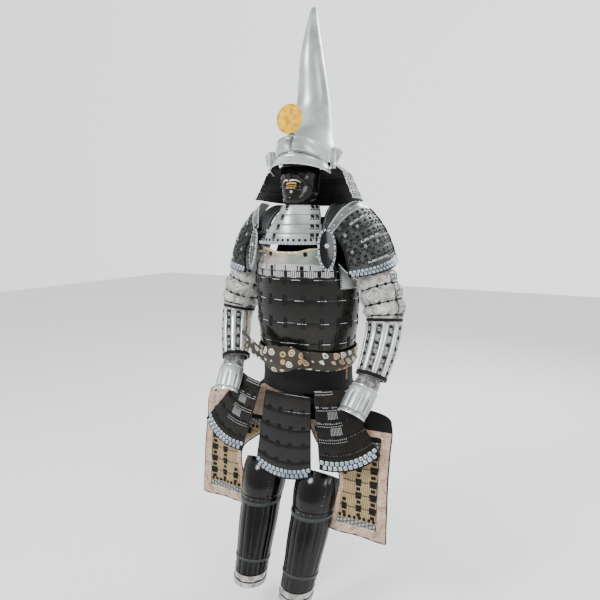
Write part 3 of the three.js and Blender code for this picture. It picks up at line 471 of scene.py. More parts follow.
class Shader:
    """A procedural material and short ways to add the nodes that feed its surface."""

    def __init__(self, **uniform):
        self.material = bpy.data.materials.new("finish")
        self.material.use_nodes = True
        self.tree = self.material.node_tree
        self.surface = self.tree.nodes["Principled BSDF"]
        for socket, value in uniform.items():
            self.surface.inputs[socket.replace("_", " ")].default_value = value

    def add(self, kind, output=0, settings=(), **inputs):
        node = self.tree.nodes.new("ShaderNode" + kind)
        for name, value in dict(settings).items():
            setattr(node, name, value)
        for name, value in inputs.items():
            self.feed(node.inputs[name.replace("_", " ")], value)
        return node.outputs[output]

    def feed(self, socket, value):
        if isinstance(value, bpy.types.NodeSocket):
            self.tree.links.new(value, socket)
        else:
            socket.default_value = value

    def where(self, kind="Object", stretch=(1, 1, 1)):
        """Object or UV coordinates, both in metres."""
        place = self.add("TexCoord", kind)
        return self.add("Mapping", Vector=place, Scale=stretch)

    def noise(self, size, detail=3.0, kind="Object", stretch=(1, 1, 1), distortion=0.0):
        how = {"Vector": self.where(kind, stretch), "Detail": detail, "Distortion": distortion}
        return self.add("TexNoise", "Fac", Scale=1 / size, **how)

    def cloud(self, size, detail, *stops, **how):
        """A ramp over soft noise. Two bare numbers stand for a mask from 0 to 1 between them."""
        if not hasattr(stops[0], "__len__"):
            stops = ((stops[0], 0.0), (stops[1], 1.0))
        return self.ramp(self.noise(size, detail, **how), *stops)

    def rough(self, size, detail, spread, base):
        return self.math("MULTIPLY_ADD", self.noise(size, detail), spread, base)

    def cells(self, kind, scale, chance, output="Distance"):
        """Scattered cells: the distance to the nearest middle, or a colour for each."""
        place, feature = self.where(kind), {"feature": "F1"}
        return self.add("TexVoronoi", output, feature, Vector=place, Scale=scale, Randomness=chance)

    def slanting(self, pitch):
        """Slanting strands, from -1 to 1, a pitch apart in metres."""
        slant = self.math("ADD", self.axis("X"), self.axis("Y"))
        return self.math("SINE", self.math("MULTIPLY", slant, TURN / pitch))

    def math(self, operation, a, b=0.0, c=0.0):
        node = self.tree.nodes.new("ShaderNodeMath")
        node.operation = operation
        for socket, value in zip(node.inputs, (a, b, c)):
            self.feed(socket, value)
        return node.outputs[0]

    def axis(self, letter, kind="UV"):
        return self.add("SeparateXYZ", letter, Vector=self.add("TexCoord", kind))

    def stripes(self, letter, pitch, power=1.0):
        """0 to 1 ribs across one coordinate, a pitch apart in metres."""
        turned = self.math("MULTIPLY_ADD", self.axis(letter), TURN / pitch)
        wave = self.math("MULTIPLY_ADD", self.math("SINE", turned), 0.5, 0.5)
        return self.math("POWER", wave, power) if power != 1 else wave

    def ramp(self, value, *stops, sharp=False):
        node = self.tree.nodes.new("ShaderNodeValToRGB")
        self.feed(node.inputs[0], value)
        points = node.color_ramp.elements
        while len(points) < len(stops):
            points.new(0.5)
        for made, (position, colour) in zip(points, stops):
            made.position = position
            shade = colour if hasattr(colour, "__len__") else (colour,) * 3
            made.color = (*shade, 1)
        if sharp:
            node.color_ramp.interpolation = "CONSTANT"
        return node.outputs["Color"]

    def mix(self, share, a, b, blend="MIX"):
        node = self.tree.nodes.new("ShaderNodeMix")
        node.data_type, node.blend_type = "RGBA", blend
        a, b = ((*c, 1) if isinstance(c, tuple) and len(c) == 3 else c for c in (a, b))
        for index, value in ((0, share), (6, a), (7, b)):
            self.feed(node.inputs[index], value)
        return node.outputs[2]

    def bump(self, height, distance, normal=None, strength=1.0):
        node = self.tree.nodes.new("ShaderNodeBump")
        for name, value in (("Height", height), ("Distance", distance), ("Strength", strength)):
            self.feed(node.inputs[name], value)
        if normal:
            self.feed(node.inputs["Normal"], normal)
        return node.outputs[0]

    def finish(self, colour=None, roughness=None, normal=None):
        for socket, value in (("Base Color", colour), ("Roughness", roughness), ("Normal", normal)):
            if value is not None:
                self.feed(self.surface.inputs[socket], (*value, 1) if isinstance(value, tuple) else value)
        return self.material


def silver(low=(0.24, 0.265, 0.26), high=(0.46, 0.49, 0.48), top=(0.66, 0.69, 0.68)):
    """Satin silvered plate: fine brushing, soft clouding."""
    s = Shader(Metallic=0.6, Specular_IOR_Level=0.5)
    brushed = s.noise(0.004, 3, stretch=(1, 1, 6))
    colour = s.cloud(0.09, 4, (0.3, low), (0.5, high), (0.7, top))
    rough = s.math("MULTIPLY_ADD", brushed, 0.16, 0.28)
    return s.finish(colour, rough, s.bump(brushed, 0.00012, strength=0.4))


def chest_silver():
    """Silvered plate in a fine drawn grain, with painted light and shade across it: lighter and rose on the
    wearer's right, darker and green on the wearer's left.
    """
    s = Shader(Metallic=0.45)
    grain = s.noise(0.0035, 4, stretch=(1, 1, 9))
    # Painted light across the plate from side to side: lighter and rose towards the key lamp on the
    # wearer's right, darker and green on the wearer's left.
    across = s.math("MULTIPLY_ADD", s.axis("X", "Object"), 4.0, 0.5)
    painted_side_light = s.ramp(across, (0.1, (0.50, 0.40, 0.375)), (0.5, (0.48, 0.48, 0.455)), (0.9, (0.30, 0.36, 0.31)))
    colour = s.mix(1.0, painted_side_light, s.cloud(0.05, 3, (0.36, 0.62), (0.62, 1.0), stretch=(1, 1, 2.5)), "MULTIPLY")
    return s.finish(colour, s.math("MULTIPLY_ADD", grain, 0.2, 0.26), s.bump(grain, 0.0002, strength=0.5))


def silver_lame(low=(0.16, 0.165, 0.16), high=(0.52, 0.53, 0.51)):
    """Silvered scales: narrow upright heads side by side, with dark seams between them."""
    s = Shader(Metallic=0.4)
    heads = s.stripes("X", 0.0052, 0.45)
    colour = s.mix(heads, (0.012, 0.012, 0.013), s.mix(s.cloud(0.02, 4, 0.38, 0.62), low, high))
    return s.finish(colour, s.rough(0.012, 4, 0.3, 0.3), s.bump(heads, 0.0007))


def lacquer():
    """Polished black lacquer over plate, with a slow ripple and faint wear."""
    s = Shader(Coat_Weight=0.12, Coat_Roughness=0.05, Specular_IOR_Level=0.24)
    dark, warm, worn = (0.0028, 0.003, 0.0036), (0.007, 0.0058, 0.0048), (0.018, 0.0135, 0.010)
    colour = s.cloud(0.16, 5, (0.35, dark), (0.6, warm), (0.8, worn))
    return s.finish(colour, s.rough(0.006, 3, 0.12, 0.1), s.bump(s.noise(0.035, 2), 0.0016, strength=0.4))


def lacquer_scales():
    """Black lacquered scales, their heads showing as low upright ribs."""
    s = Shader(Coat_Weight=0.1, Coat_Roughness=0.08, Specular_IOR_Level=0.24)
    dark, warm, worn = (0.0032, 0.0034, 0.0036), (0.010, 0.0082, 0.006), (0.026, 0.019, 0.012)
    colour = s.cloud(0.12, 5, (0.35, dark), (0.62, warm), (0.8, worn))
    ripple = s.bump(s.noise(0.045, 2), 0.0022, strength=0.5)
    ribbed = s.bump(s.stripes("X", 0.011, 0.3), 0.0003, ripple)
    return s.finish(colour, s.rough(0.006, 3, 0.14, 0.13), ribbed)


def black_silk():
    """Flat silk lace with its plaited strands."""
    s = Shader(Sheen_Weight=0.08, Sheen_Roughness=0.4, Specular_IOR_Level=0.2)
    strands = s.math("MULTIPLY", s.stripes("X", 0.0022), s.stripes("Y", 0.0024))
    colour = s.mix(strands, (0.0015, 0.0015, 0.002), (0.0095, 0.010, 0.011))
    return s.finish(colour, 0.68, s.bump(strands, 0.0006))


def pale_lace(shade, dark, pitch=0.0042, depth=0.45):
    """Silk braid with slanting plaits."""
    s = Shader(Sheen_Weight=0.25)
    plait = s.math("MULTIPLY_ADD", s.slanting(pitch), 0.5, 0.5)
    colour = s.mix(s.math("MULTIPLY_ADD", s.noise(0.02, 3), 0.4, 0.5), dark, shade)
    return s.finish(s.mix(plait, s.mix(depth, colour, dark), colour), 0.6, s.bump(plait, 0.0006))


def gold():
    """Gilt plate, softly hammered."""
    s = Shader(Metallic=0.25, Specular_IOR_Level=0.25)
    deep, warm, light = (0.46, 0.22, 0.003), (0.66, 0.36, 0.004), (0.76, 0.46, 0.008)
    colour = s.cloud(0.02, 4, (0.35, deep), (0.5, warm), (0.65, light))
    return s.finish(colour, s.rough(0.004, 3, 0.15, 0.45), s.bump(s.noise(0.007, 2), 0.0007))


def cream_rim():
    """Worn gilt and cream lacquer on a rolled rim."""
    s = Shader(Metallic=0.3)
    colour = s.mix(s.cloud(0.012, 4, 0.4, 0.6), (0.66, 0.42, 0.13), (0.86, 0.76, 0.58))
    return s.finish(colour, 0.36, s.bump(s.noise(0.003), 0.0002))


def weave(s, pitch=0.0016, depth=0.00035):
    """Crossing threads of plain cloth."""
    threads = s.math("ADD", s.stripes("X", pitch), s.stripes("Y", pitch * 1.15))
    return s.bump(threads, depth)


def brocade():
    """Cream and rose brocade with scattered gold leaf sprays."""
    s = Shader(Sheen_Weight=0.12)
    tan, cream, rose = (0.44, 0.29, 0.20), (0.66, 0.50, 0.38), (0.60, 0.34, 0.23)
    ground = s.cloud(0.05, 4, (0.36, tan), (0.5, cream), (0.64, rose), kind="UV")
    ragged = s.math("MULTIPLY", s.noise(0.01, 4, "UV"), 0.5)
    leaf = s.ramp(s.math("ADD", s.cells("UV", 52.0, 0.85), ragged), (0.42, 1.0), (0.5, 0.0))
    colour = s.mix(s.math("MULTIPLY", leaf, 0.8), ground, (0.84, 0.78, 0.66))
    fleck = s.cloud(0.009, 5, 0.54, 0.6, kind="UV", distortion=1.2)
    colour = s.mix(s.math("MULTIPLY", fleck, 0.7), colour, (0.28, 0.15, 0.085))
    return s.finish(colour, 0.58, weave(s))


def silver_brocade():
    """Silver-white brocade with small sprays of grey, rose-brown and gold."""
    s = Shader(Sheen_Weight=0.1)
    grey, pale, white = (0.26, 0.27, 0.26), (0.56, 0.57, 0.54), (0.74, 0.74, 0.70)
    ground = s.cloud(0.03, 5, (0.38, grey), (0.5, pale), (0.62, white), kind="UV")
    smoke, rose, straw = (0.17, 0.17, 0.165), (0.34, 0.20, 0.15), (0.60, 0.44, 0.28)
    tint = s.cloud(0.045, 2, (0.42, smoke), (0.52, rose), (0.62, straw), kind="UV")
    spray = s.cloud(0.016, 4, 0.54, 0.59, kind="UV", stretch=(1, 0.8, 1), distortion=1.4)
    colour = s.mix(s.math("MULTIPLY", spray, 0.85), ground, tint)
    vein = s.cloud(0.0075, 4, 0.56, 0.61, kind="UV", distortion=1.6)
    colour = s.mix(s.math("MULTIPLY", vein, 0.7), colour, (0.22, 0.215, 0.20))
    return s.finish(colour, 0.5, weave(s))


def sash_cloth():
    """Dark brown silk with pale ringed roundels."""
    s = Shader(Sheen_Weight=0.06)
    near = ("UV", 31.0, 0.35)
    ringed = (0.0, 0.0), (0.06, 1.0), (0.15, 0.05), (0.215, 1.0), (0.34, 0.0)
    rings = s.ramp(s.cells(*near), *ringed, sharp=True)
    cream, straw, tan = (0.74, 0.72, 0.62), (0.66, 0.58, 0.40), (0.50, 0.33, 0.15)
    chance = s.add("SeparateXYZ", "X", Vector=s.cells(*near, "Color"))
    pale = s.ramp(chance, (0.3, cream), (0.6, straw), (0.9, tan))
    ground = s.mix(s.noise(0.03, 3), (0.010, 0.007, 0.004), (0.036, 0.025, 0.013))
    ground = s.mix(s.cloud(0.004, 2, (0.66, 0.0), (0.7, 0.5), kind="UV"), ground, (0.20, 0.14, 0.07))
    return s.finish(s.mix(rings, ground, pale), 0.62, weave(s, 0.0014, 0.0003))


def leather():
    """Creased leather, rubbed paler in random patches."""
    s = Shader(Specular_IOR_Level=0.3)
    rubbed = s.noise(0.04, 5)
    creased = s.bump(s.cells("Object", 520.0, 1.0), 0.0004, s.bump(rubbed, 0.002, strength=0.3))
    return s.finish(s.mix(rubbed, (0.008, 0.0085, 0.0095), (0.035, 0.035, 0.037)), 0.45, creased)


def blue_strap():
    """Blue-grey cotton tape, twilled."""
    s = Shader(Sheen_Weight=0.3)
    colour = s.mix(s.noise(0.02), (0.006, 0.0085, 0.0105), (0.016, 0.023, 0.028))
    return s.finish(colour, 0.75, s.bump(s.stripes("X", 0.0022), 0.0005))


def mail():
    """Grey iron mail: rows of small open rings on dark cloth."""
    s = Shader(Metallic=0.35)
    wire = s.ramp(s.cells("UV", 190.0, 0.12), (0.12, 0.0), (0.26, 1.0), (0.42, 1.0), (0.56, 0.0))
    tone = s.cloud(0.014, 3, (0.4, (0.16, 0.165, 0.16)), (0.6, (0.62, 0.63, 0.60)))
    return s.finish(s.mix(wire, (0.015, 0.015, 0.015), tone), 0.42, s.bump(wire, 0.0009))


def splint_cloth():
    """Tan and gold silk over narrow splints."""
    s = Shader(Sheen_Weight=0.1, Metallic=0.1)
    ribs = s.stripes("X", 0.0062, 0.5)
    colour = s.mix(s.noise(0.05, 4, "UV"), (0.36, 0.23, 0.09), (0.66, 0.50, 0.27))
    colour = s.mix(ribs, (0.085, 0.052, 0.022), colour)
    return s.finish(colour, 0.5, s.bump(ribs, 0.0011, weave(s, 0.0013, 0.0002)))


def grey_loops():
    """Grey-green silk loops between the splints and their border."""
    s = Shader(Sheen_Weight=0.2)
    loops = s.math("MULTIPLY", s.stripes("X", 0.0125, 0.7), s.stripes("Y", 0.014, 0.7))
    return s.finish(s.mix(loops, (0.05, 0.055, 0.05), (0.40, 0.42, 0.38)), 0.7, s.bump(loops, 0.0012))


def tassel_cord():
    """Orange-brown silk cord, its strands twisted."""
    s = Shader(Sheen_Weight=0.3)
    colour = s.mix(s.noise(0.006), (0.20, 0.075, 0.02), (0.52, 0.27, 0.09))
    return s.finish(colour, 0.6, s.bump(s.slanting(0.0018), 0.0004))


def lining():
    """Dark blue-black hemp lining."""
    s = Shader(Specular_IOR_Level=0.15)
    colour = s.mix(s.noise(0.03), (0.002, 0.0022, 0.003), (0.007, 0.008, 0.010))
    return s.finish(colour, 0.82, weave(s, 0.0018, 0.0004))


def inner_lacquer():
    """Black lacquer brushed over the inside of plates."""
    s = Shader(Specular_IOR_Level=0.16)
    brushed = s.noise(0.012, 4, stretch=(1, 1, 3))
    colour = s.mix(brushed, (0.0015, 0.0015, 0.002), (0.006, 0.0055, 0.005))
    return s.finish(colour, 0.42, s.bump(brushed, 0.0006))


def ivory():
    """Cream hair and horn."""
    s = Shader()
    hair = s.noise(0.0014, 3, stretch=(1, 1, 5))
    return s.finish(s.mix(hair, (0.62, 0.37, 0.22), (0.90, 0.72, 0.52)), 0.5, s.bump(hair, 0.0005))


def bright_silver():
    """Polished edge metal, used where a rim or rivet catches the light, and for painted glints along the
    cuirass lames' upper edges.
    """
    s = Shader(Metallic=0.5)
    colour = s.mix(s.noise(0.02), (0.50, 0.53, 0.52), (0.74, 0.77, 0.76))
    return s.finish(colour, 0.26, s.bump(s.noise(0.005), 0.0001))


MATERIALS = {
    "silver": silver(),
    "cap_silver": silver((0.05, 0.062, 0.056), (0.15, 0.175, 0.16), (0.28, 0.31, 0.29)),
    # A dark silver used only as painted shade: in grooves and along lines where parts meet.
    "painted_groove_shade": silver((0.03, 0.032, 0.034), (0.07, 0.072, 0.075), (0.12, 0.12, 0.12)),
    "silver_lame": silver_lame(),
    "aged_lame": silver_lame((0.014, 0.017, 0.016), (0.075, 0.085, 0.08)),
    "chest_silver": chest_silver(),
    "bright": bright_silver(),
    "lacquer": lacquer(),
    "lacquer_scales": lacquer_scales(),
    "black_silk": black_silk(),
    "pale_lace": pale_lace((0.74, 0.76, 0.73), (0.06, 0.065, 0.07)),
    "blue_lace": pale_lace((0.62, 0.70, 0.78), (0.10, 0.13, 0.17)),
    "white_silk": pale_lace((0.66, 0.67, 0.65), (0.30, 0.32, 0.32)),
    "rope": pale_lace((0.84, 0.88, 0.92), (0.07, 0.10, 0.15), 0.011, 0.85),
    "pad": silver((0.16, 0.20, 0.24), (0.34, 0.40, 0.46), (0.55, 0.61, 0.67)),
    "gold": gold(),
    "cream_rim": cream_rim(),
    "brocade": brocade(),
    "silver_brocade": silver_brocade(),
    "sash": sash_cloth(),
    "leather": leather(),
    "blue_strap": blue_strap(),
    "mail": mail(),
    "splint_cloth": splint_cloth(),
    "grey_loops": grey_loops(),
    "tassel": tassel_cord(),
    "lining": lining(),
    "inner_lacquer": inner_lacquer(),
    "ivory": ivory(),
}
for name, material in MATERIALS.items():
    material.name = name


# ---------------------------------------------------------------- helmet

CROWN = Table("height half front back", [
    (1506, 93, -109, 108), (1552, 89, -104, 106), (1582, 81, -82, 102), (1612, 73, -54, 98),
    (1650, 66, -30, 93), (1706, 57, -10, 86), (1835, 40, -10, 64), (1934, 21, 9, 54),
    (1985, 11, 28, 51), (1996, 7, 34, 48), (1999, 2, 39, 43),
])  # fmt: skip
CROWN_LOW, CROWN_HIGH = 1506, 1999


def crown_surface(u, v):
    height = lerp(CROWN_LOW, CROWN_HIGH, v)
    x, y = oval(CROWN(height), u * TURN)
    return point(x, y, height)


def crown_core(u, v):
    height = lerp(CROWN_LOW, CROWN_HIGH, v)
    ring = CROWN(height)
    return point(0, (ring.front + ring.back) / 2, height)


def helmet_crown():
    """A tall silvered cap with a rolled foot and a few rivets."""
    piece = Piece("crown_dress", "silver", "helmet_crown")
    form = Form(crown_surface, crown_core)
    rows = list(np.linspace(0, 0.3, 24)) + list(np.linspace(0.3, 1, 50))[1:]
    wall = lambda u, v: np.minimum(2.2, 0.45 * CROWN(lerp(CROWN_LOW, CROWN_HIGH, v)).half)
    piece.shell(form, 88, rows, "silver", "inner_lacquer", wall, loop=True)
    around = np.linspace(0, 1, 120, endpoint=False)
    piece.edge(form, around, 0.004, 2.2, "bright", closed=True)
    rivets = np.array([0.135, 0.865, 0.36, 0.64])
    piece.domes(form.at(rivets, 0.15, 0.2), (6.5, 6.5, 2.2), "bright")
    return piece.build()


VISOR_SPREAD = math.radians(70)
VISOR = Table("at height reach bulge", [
    (0, 1584, 2, 0), (0.2, 1580, 6, 18), (0.55, 1542, 4, 14), (0.7, 1528, 5, 3), (1, 1496, 32, 0),
])  # fmt: skip
BROW_NOTCH = math.radians(7)
BROW_CREASE, BROW_LINE = 0.665, 0.60


def visor_surface(u, v):
    angle = lerp(-VISOR_SPREAD, VISOR_SPREAD, u)
    row = VISOR(v)
    ends = np.abs(angle) / VISOR_SPREAD
    brow = np.minimum(1, np.abs(angle) / BROW_NOTCH) * np.maximum(0, 1 - (ends / 0.85) ** 4)
    fallen = 1 - ends**2
    seat = np.minimum(row.height, lerp(1552, 1572, fallen))
    outward = 4 + row.reach * lerp(0.45, 1, fallen) + row.bulge * brow * fallen
    x, y = oval(CROWN(seat), angle, outward)
    return point(x, y, row.height - lerp(44, 26, v) * ends**2)


def visor_relief(u, v):
    """A raised band under the brows with a crease over it."""
    ends = np.abs(2 * u - 1)
    band = np.clip((0.86 - ends) / 0.1, 0, 1)
    cleft = np.clip((ends - 0.035) / 0.05, 0, 1)
    crease = 3.0 * bell(v, BROW_CREASE, 0.018) * cleft
    return band * (1.8 * bell(v, 0.735, 0.022) - crease + 1.1 * bell(v, BROW_LINE, 0.02))


def helmet_visor():
    piece = Piece("visor_dress", "silver", "helmet_visor")
    form = Form(visor_surface, axis(1496))

    # The brow crease, and the line under the brow on the wearer's left, are coloured dark silver as painted
    # shade in the grooves.
    def painted_groove_lines(u, v):
        ends = np.abs(2 * u - 1)
        line = (np.abs(v - BROW_CREASE) < 0.008) | ((np.abs(v - BROW_LINE) < 0.006) & (u > 0.5))
        return line & (ends > 0.06) & (ends < 0.74)

    zones = (("silver", "painted_groove_shade"), painted_groove_lines)
    piece.shell(form, 100, shares(101), zones, "inner_lacquer", relief=visor_relief)
    u = np.linspace(0.003, 0.997, 110)
    piece.edge(form, u, 0.995, 2.3, "bright", guide=(0, 0.2, 1))
    piece.rims(form, (0.004, 0.996), np.linspace(0.02, 0.99, 40), 1.6, "bright", guide=Y_AXIS)
    piece.domes(form.at(np.array([0.13, 0.87]), 0.8, 0.2), (7, 7, 2.2), "bright")
    return piece.build()


TURNBACK = ((104, -43, 1484), (121, -53, 1487), (97, -24, 1544), (144, -38, 1534))


def turnback_form(sign):
    a, b, c, d = (np.array(corner, float) * (sign, 1, 1) for corner in TURNBACK)

    def surface(u, v):
        u, v = np.asarray(u)[..., None], np.asarray(v)[..., None]
        bow = np.sin(u * math.pi) * v
        return lerp(lerp(a, c, v), lerp(b, d, v), u) + bow * np.array((0, -16, 8.0))

    return Form(surface, fixed(point(0, 52, 1486)))


def helmet_turnbacks():
    for side, sign in SIDES:
        piece = Piece(f"turnback_dress_{side}", "silver", f"helmet_turnback_{side}")
        form = turnback_form(sign)
        piece.shell(form, 26, even(22), "silver", "silver")
        along = shares(24)
        u = np.concatenate([0 * along, along[1:], 1 + 0 * along[1:]])
        v = np.concatenate([along, 1 + 0 * along[1:], along[::-1][1:]])
        piece.edge(form, u, v, 1.4, "bright", lift=-1.0, guide=(0, 1, 0.3))
        piece.build()


CREST_Y, CREST_HEIGHT, CREST_LEAN = -122, 1630, math.radians(5)
CREST_SECTION = [
    (0.4, 2.2), (12, 2.2), (26, 2.0), (37, 1.5), (39.5, 1.2), (40.8, 2.0), (42.6, 2.5),
    (44.2, 2.0), (45, 0.4), (44.6, -1.1), (43, -1.5), (26, -1.5), (0.4, -1.5),
]  # fmt: skip
CREST_SIDES = 96
HOLDER_PATH = ((0, -107.5, 1586), (0, -107.5, 1604), (0, -112, 1624), (0, -115.4, 1640))
HOLDER_FRONT, HOLDER_BACK, HOLDER_HALF = -114, -101.5, 9.2


def crest():
    """A plain gilt disc with a low rim, in a small black holder."""
    disc = Piece("crest_dress", "gold", "crest_disc")
    turn = np.linspace(0, TURN, CREST_SIDES, endpoint=False)
    sin, cos = math.sin(CREST_LEAN), math.cos(CREST_LEAN)
    lean = np.array([[1, 0, 0], [0, sin, -cos], [0, cos, sin]])
    rings = np.stack([point(r * np.cos(turn), r * np.sin(turn), h) for r, h in CREST_SECTION])
    rings = rings @ lean.T + (0, CREST_Y, CREST_HEIGHT)
    faces = grid_faces(len(CREST_SECTION), CREST_SIDES, True)
    disc.add(rings, faces[:, ::-1], "gold", rings[..., [0, 2]] * MM)
    around = np.arange(CREST_SIDES)
    disc.caps([around, ((len(CREST_SECTION) - 1) * CREST_SIDES + around)[::-1]])
    disc.build()
    post = Piece("crest_holder", "lacquer", "crest_post")
    line = Curve(HOLDER_PATH).at(shares(22))
    taper = np.linspace(1, 0.8, 22)[:, None, None]
    out = unit(np.cross(np.gradient(line, axis=0), (1, 0, 0)))
    quarter = np.array([(-8, -3.5), (-7, -4.5), (7, -4.5), (8, -3.5)])
    box = np.vstack([quarter, -quarter])
    post.sweep(line, np.tile([1.0, 0, 0], (22, 1)), out, box * taper, "lacquer")
    for height in (1590, 1603):
        x = HOLDER_HALF * np.array([-1, 1, 1, -1])
        y = np.repeat([HOLDER_FRONT, HOLDER_BACK], 2)
        post.tube(point(x, y, height), 1.5, "bright", closed=True)
    post.build()


NECK_GUARD = Table("height half front back", [
    (1503, 98, -114, 113), (1476, 141, -147, 138), (1448, 154, -161, 152), (1421, 168, -175, 166),
    (1394, 183, -191, 181),
])  # fmt: skip
NECK_GUARD_EDGE = math.radians(78)
NECK_GUARD_DROP = 16  # of the last lame at the nape


def neck_guard_form(index):
    rows = NECK_GUARD.rows[::-1]
    top, bottom = (SimpleNamespace(**dict(zip(NECK_GUARD.columns, r))) for r in rows[index : index + 2])

    def surface(u, v):
        angle = lerp(NECK_GUARD_EDGE, TURN - NECK_GUARD_EDGE, u)
        share = np.asarray(lerp(2.2 / (top.height - bottom.height), 1, v))[..., None]
        low = bottom.height - NECK_GUARD_DROP * np.clip(-np.cos(angle), 0, 1) * (index == 3)
        return lerp(point(*oval(top, angle), top.height), point(*oval(bottom, angle), low), share)

    return Form(surface, axis(1394))


LACE_PITCH = 17.0  # from one pattern of laces to the next


def lace_rows(piece, form, pitch, rows, edge=0.0):
    """Rows of lacing marks across a lame: rows are (v, shift, outline, size, material)."""
    width = form.width(0.5)
    count = max(1, round(width * (1 - 2 * edge) / pitch))
    for v, shift, outline, size, material in rows:
        u = edge + (np.arange(count) + 0.5 + shift) / count * (1 - 2 * edge)
        u = u[(u > edge * 0.5 + 0.004) & (u < 1 - edge * 0.5 - 0.004)]
        piece.studs(form.at(u, v, LAME_LIFT * (1 - v) * 0.9), outline, PAD, size, material)


def laced_silver(piece, form, edge=0.0):
    """The marks on a silvered lame: a black square, two marks below, and pale laces between."""
    lace_rows(piece, form, LACE_PITCH, (
        (0.20, 0, SQUARE, (7.6, 6.2, 1.5), "black_silk"),
        (0.20, 0.5, BAR, (3.4, 7.0, 1.1), "white_silk"),
        (0.47, -0.2, BAR, (2.4, 6.6, 1.4), "black_silk"),
        (0.47, 0.2, BAR, (2.4, 6.6, 1.4), "black_silk"),
        (0.47, 0.5, BAR, (5.0, 6.4, 1.1), "pale_lace"),
        (0.76, 0.5, SQUARE, (5.2, 4.2, 1.4), "black_silk"),
        (0.76, 0.0, BAR, (6.6, 4.6, 1.2), "pale_lace"),
    ), edge)  # fmt: skip


def neck_guard():
    for index in range(4):
        slot = "silver_lace" if index else "lacquer"
        piece = Piece(f"neck_guard_dress_{index + 1}", slot, f"neck_guard_lame_{index + 1}")
        form = neck_guard_form(index)
        outside = "silver_lame" if index else "lacquer"
        piece.shell(form, 110, lame_rows(), outside, "inner_lacquer", edge="inner_lacquer")
        u = shares(150)
        piece.edge(form, u, 1.0, 1.5, "inner_lacquer")
        if index < 3:
            piece.strap(form, u, 1.0, 7, 0.8, "inner_lacquer", lift=-3.2)
        if index:
            laced_silver(piece, form, edge=0.01)
        else:
            rivets = np.linspace(0.04, 0.96, 13)
            piece.domes(form.at(rivets, 0.45, 1.6), (6, 6, 2), "bright")
        piece.rims(form, (0.002, 0.998), shares(8), 2.0, "lacquer", lift=0.4)
        if index == 3:
            piece.edge(form, u, 0.985, 2.4, "rope", lift=1.8, twist=60)
        piece.build()


# ---------------------------------------------------------------- mask and throat guard

MASK = Table("height half front", [
    (1364, 34, -112), (1382, 50, -122), (1406, 60, -119), (1436, 64, -113), (1466, 66, -112),
    (1494, 66, -104),
])  # fmt: skip
MASK_EAR = -46
MASK_LOW, MASK_HIGH = 1364, 1494
NOSE = SimpleNamespace(out=19, wide=math.radians(17), height=1462, tall=20)
MOUTH = {"height": 1436, "half": 25, "tall": 8.5}


def mask_surface(u, v):
    angle = lerp(-math.pi / 2, math.pi / 2, u)
    height = lerp(MASK_LOW, MASK_HIGH, v)
    row = MASK(height)
    nose = NOSE.out * np.exp(-((angle / NOSE.wide) ** 2) - ((height - NOSE.height) / NOSE.tall) ** 2)
    return point(row.half * np.sin(angle), MASK_EAR - (MASK_EAR - row.front + nose) * np.cos(angle), height)


def mask_relief(u, v):
    """A general grim face: nostrils, hollow mouth, lips, chin and folded cheeks."""
    where = mask_surface(u, v)
    x, z = np.abs(where[..., 0]), where[..., 2]
    front = np.clip((-where[..., 1] - 60) / 20, 0, 1)
    droop = MOUTH["height"] - 5 * (x / 25) ** 2
    mouth = np.exp(-((x / MOUTH["half"]) ** 6) - ((z - droop) / (MOUTH["tall"] * 0.72)) ** 4)
    lips = bell(z, droop + 11.5, 3.4) + bell(z, droop - 11.0, 3.4)
    lips = lips * np.clip(1.25 - (x / 29) ** 4, 0, 1)
    wing = np.exp(-(((x - 15) / 6) ** 2) - ((z - 1460) / 8) ** 2)
    nostril = np.exp(-(((x - 9) / 4) ** 2) - ((z - 1454) / 3.0) ** 2)
    chin = np.exp(-((x / 20) ** 2) - ((z - 1392) / 12) ** 2)
    cheek = np.exp(-(((x - 44) / 13) ** 2) - ((z - 1452) / 14) ** 2)
    folds = np.zeros_like(x)
    for offset, size in ((0, 2.6), (9, 2.0), (18, 1.5)):
        line = 1462 - offset * 0.7 - 0.026 * (x - 16 - offset * 0.5) ** 2
        reach = np.clip((x - 17 - offset * 0.4) / 6, 0, 1) * np.clip((56 - x) / 8, 0, 1)
        folds += size * bell(z, line, 2.6) * reach
    relief = -9 * mouth + 3.4 * lips * (1 - mouth) + 5 * wing - 5 * nostril + 5 * chin + 3.2 * cheek + folds
    return relief * front


def mask():
    piece = Piece("mask_dress", "lacquer", "mask_shell")
    form = Form(mask_surface, fixed(point(0, MASK_EAR, 1462)))
    piece.shell(form, 130, shares(104), "lacquer", "inner_lacquer", relief=mask_relief)
    rim = np.linspace(0.004, 0.996, 90)
    piece.edge(form, rim, 0.995, 2.0, "lacquer")
    piece.rims(form, (0.003, 0.997), shares(40), 2.0, "lacquer", guide=Y_AXIS)

    def on_face(x, height, lift):
        """A place on the mask, from across and height; near the middle the angle follows x."""
        v = (np.asarray(height, float) - MASK_LOW) / (MASK_HIGH - MASK_LOW)
        half = MASK(height).half
        u = 0.5 + np.arcsin(np.clip(np.asarray(x, float) / half, -1, 1)) / math.pi
        return form.at(u, v, lift)

    teeth = np.linspace(-16, 16, 7)
    for rise, tall, material in ((3.5, 5.6, "ivory"), (-4.5, 4.4, "gold")):
        height = MOUTH["height"] + rise - 5 * (teeth / 25) ** 2
        piece.pads(on_face(teeth, height, -3.4), (4.2, tall, 3.0), material)
    for sign in (-1, 1):
        t = shares(16)
        height = MOUTH["height"] + 12.5 + 2.0 * np.sin(t * math.pi) - 8 * t**2.2
        hair = on_face(lerp(2, 30, t) * sign, height, 4.6)[0]
        piece.tube(hair, np.interp(t, [0, 0.3, 1], [2.0, 2.9, 0.6]), "ivory", guide=Y_AXIS)
    x = np.linspace(-15, 15, 20)
    lip = on_face(x, MOUTH["height"] - 12 - 4 * (x / 25) ** 2, 4.2)[0]
    piece.tube(lip, 0.9, "ivory", guide=Y_AXIS)
    pins = np.array([-50.0, 50.0])
    piece.domes(on_face(pins, 1430 + 0 * pins, 0.4), (6, 6, 4), "lacquer")
    return piece.build()


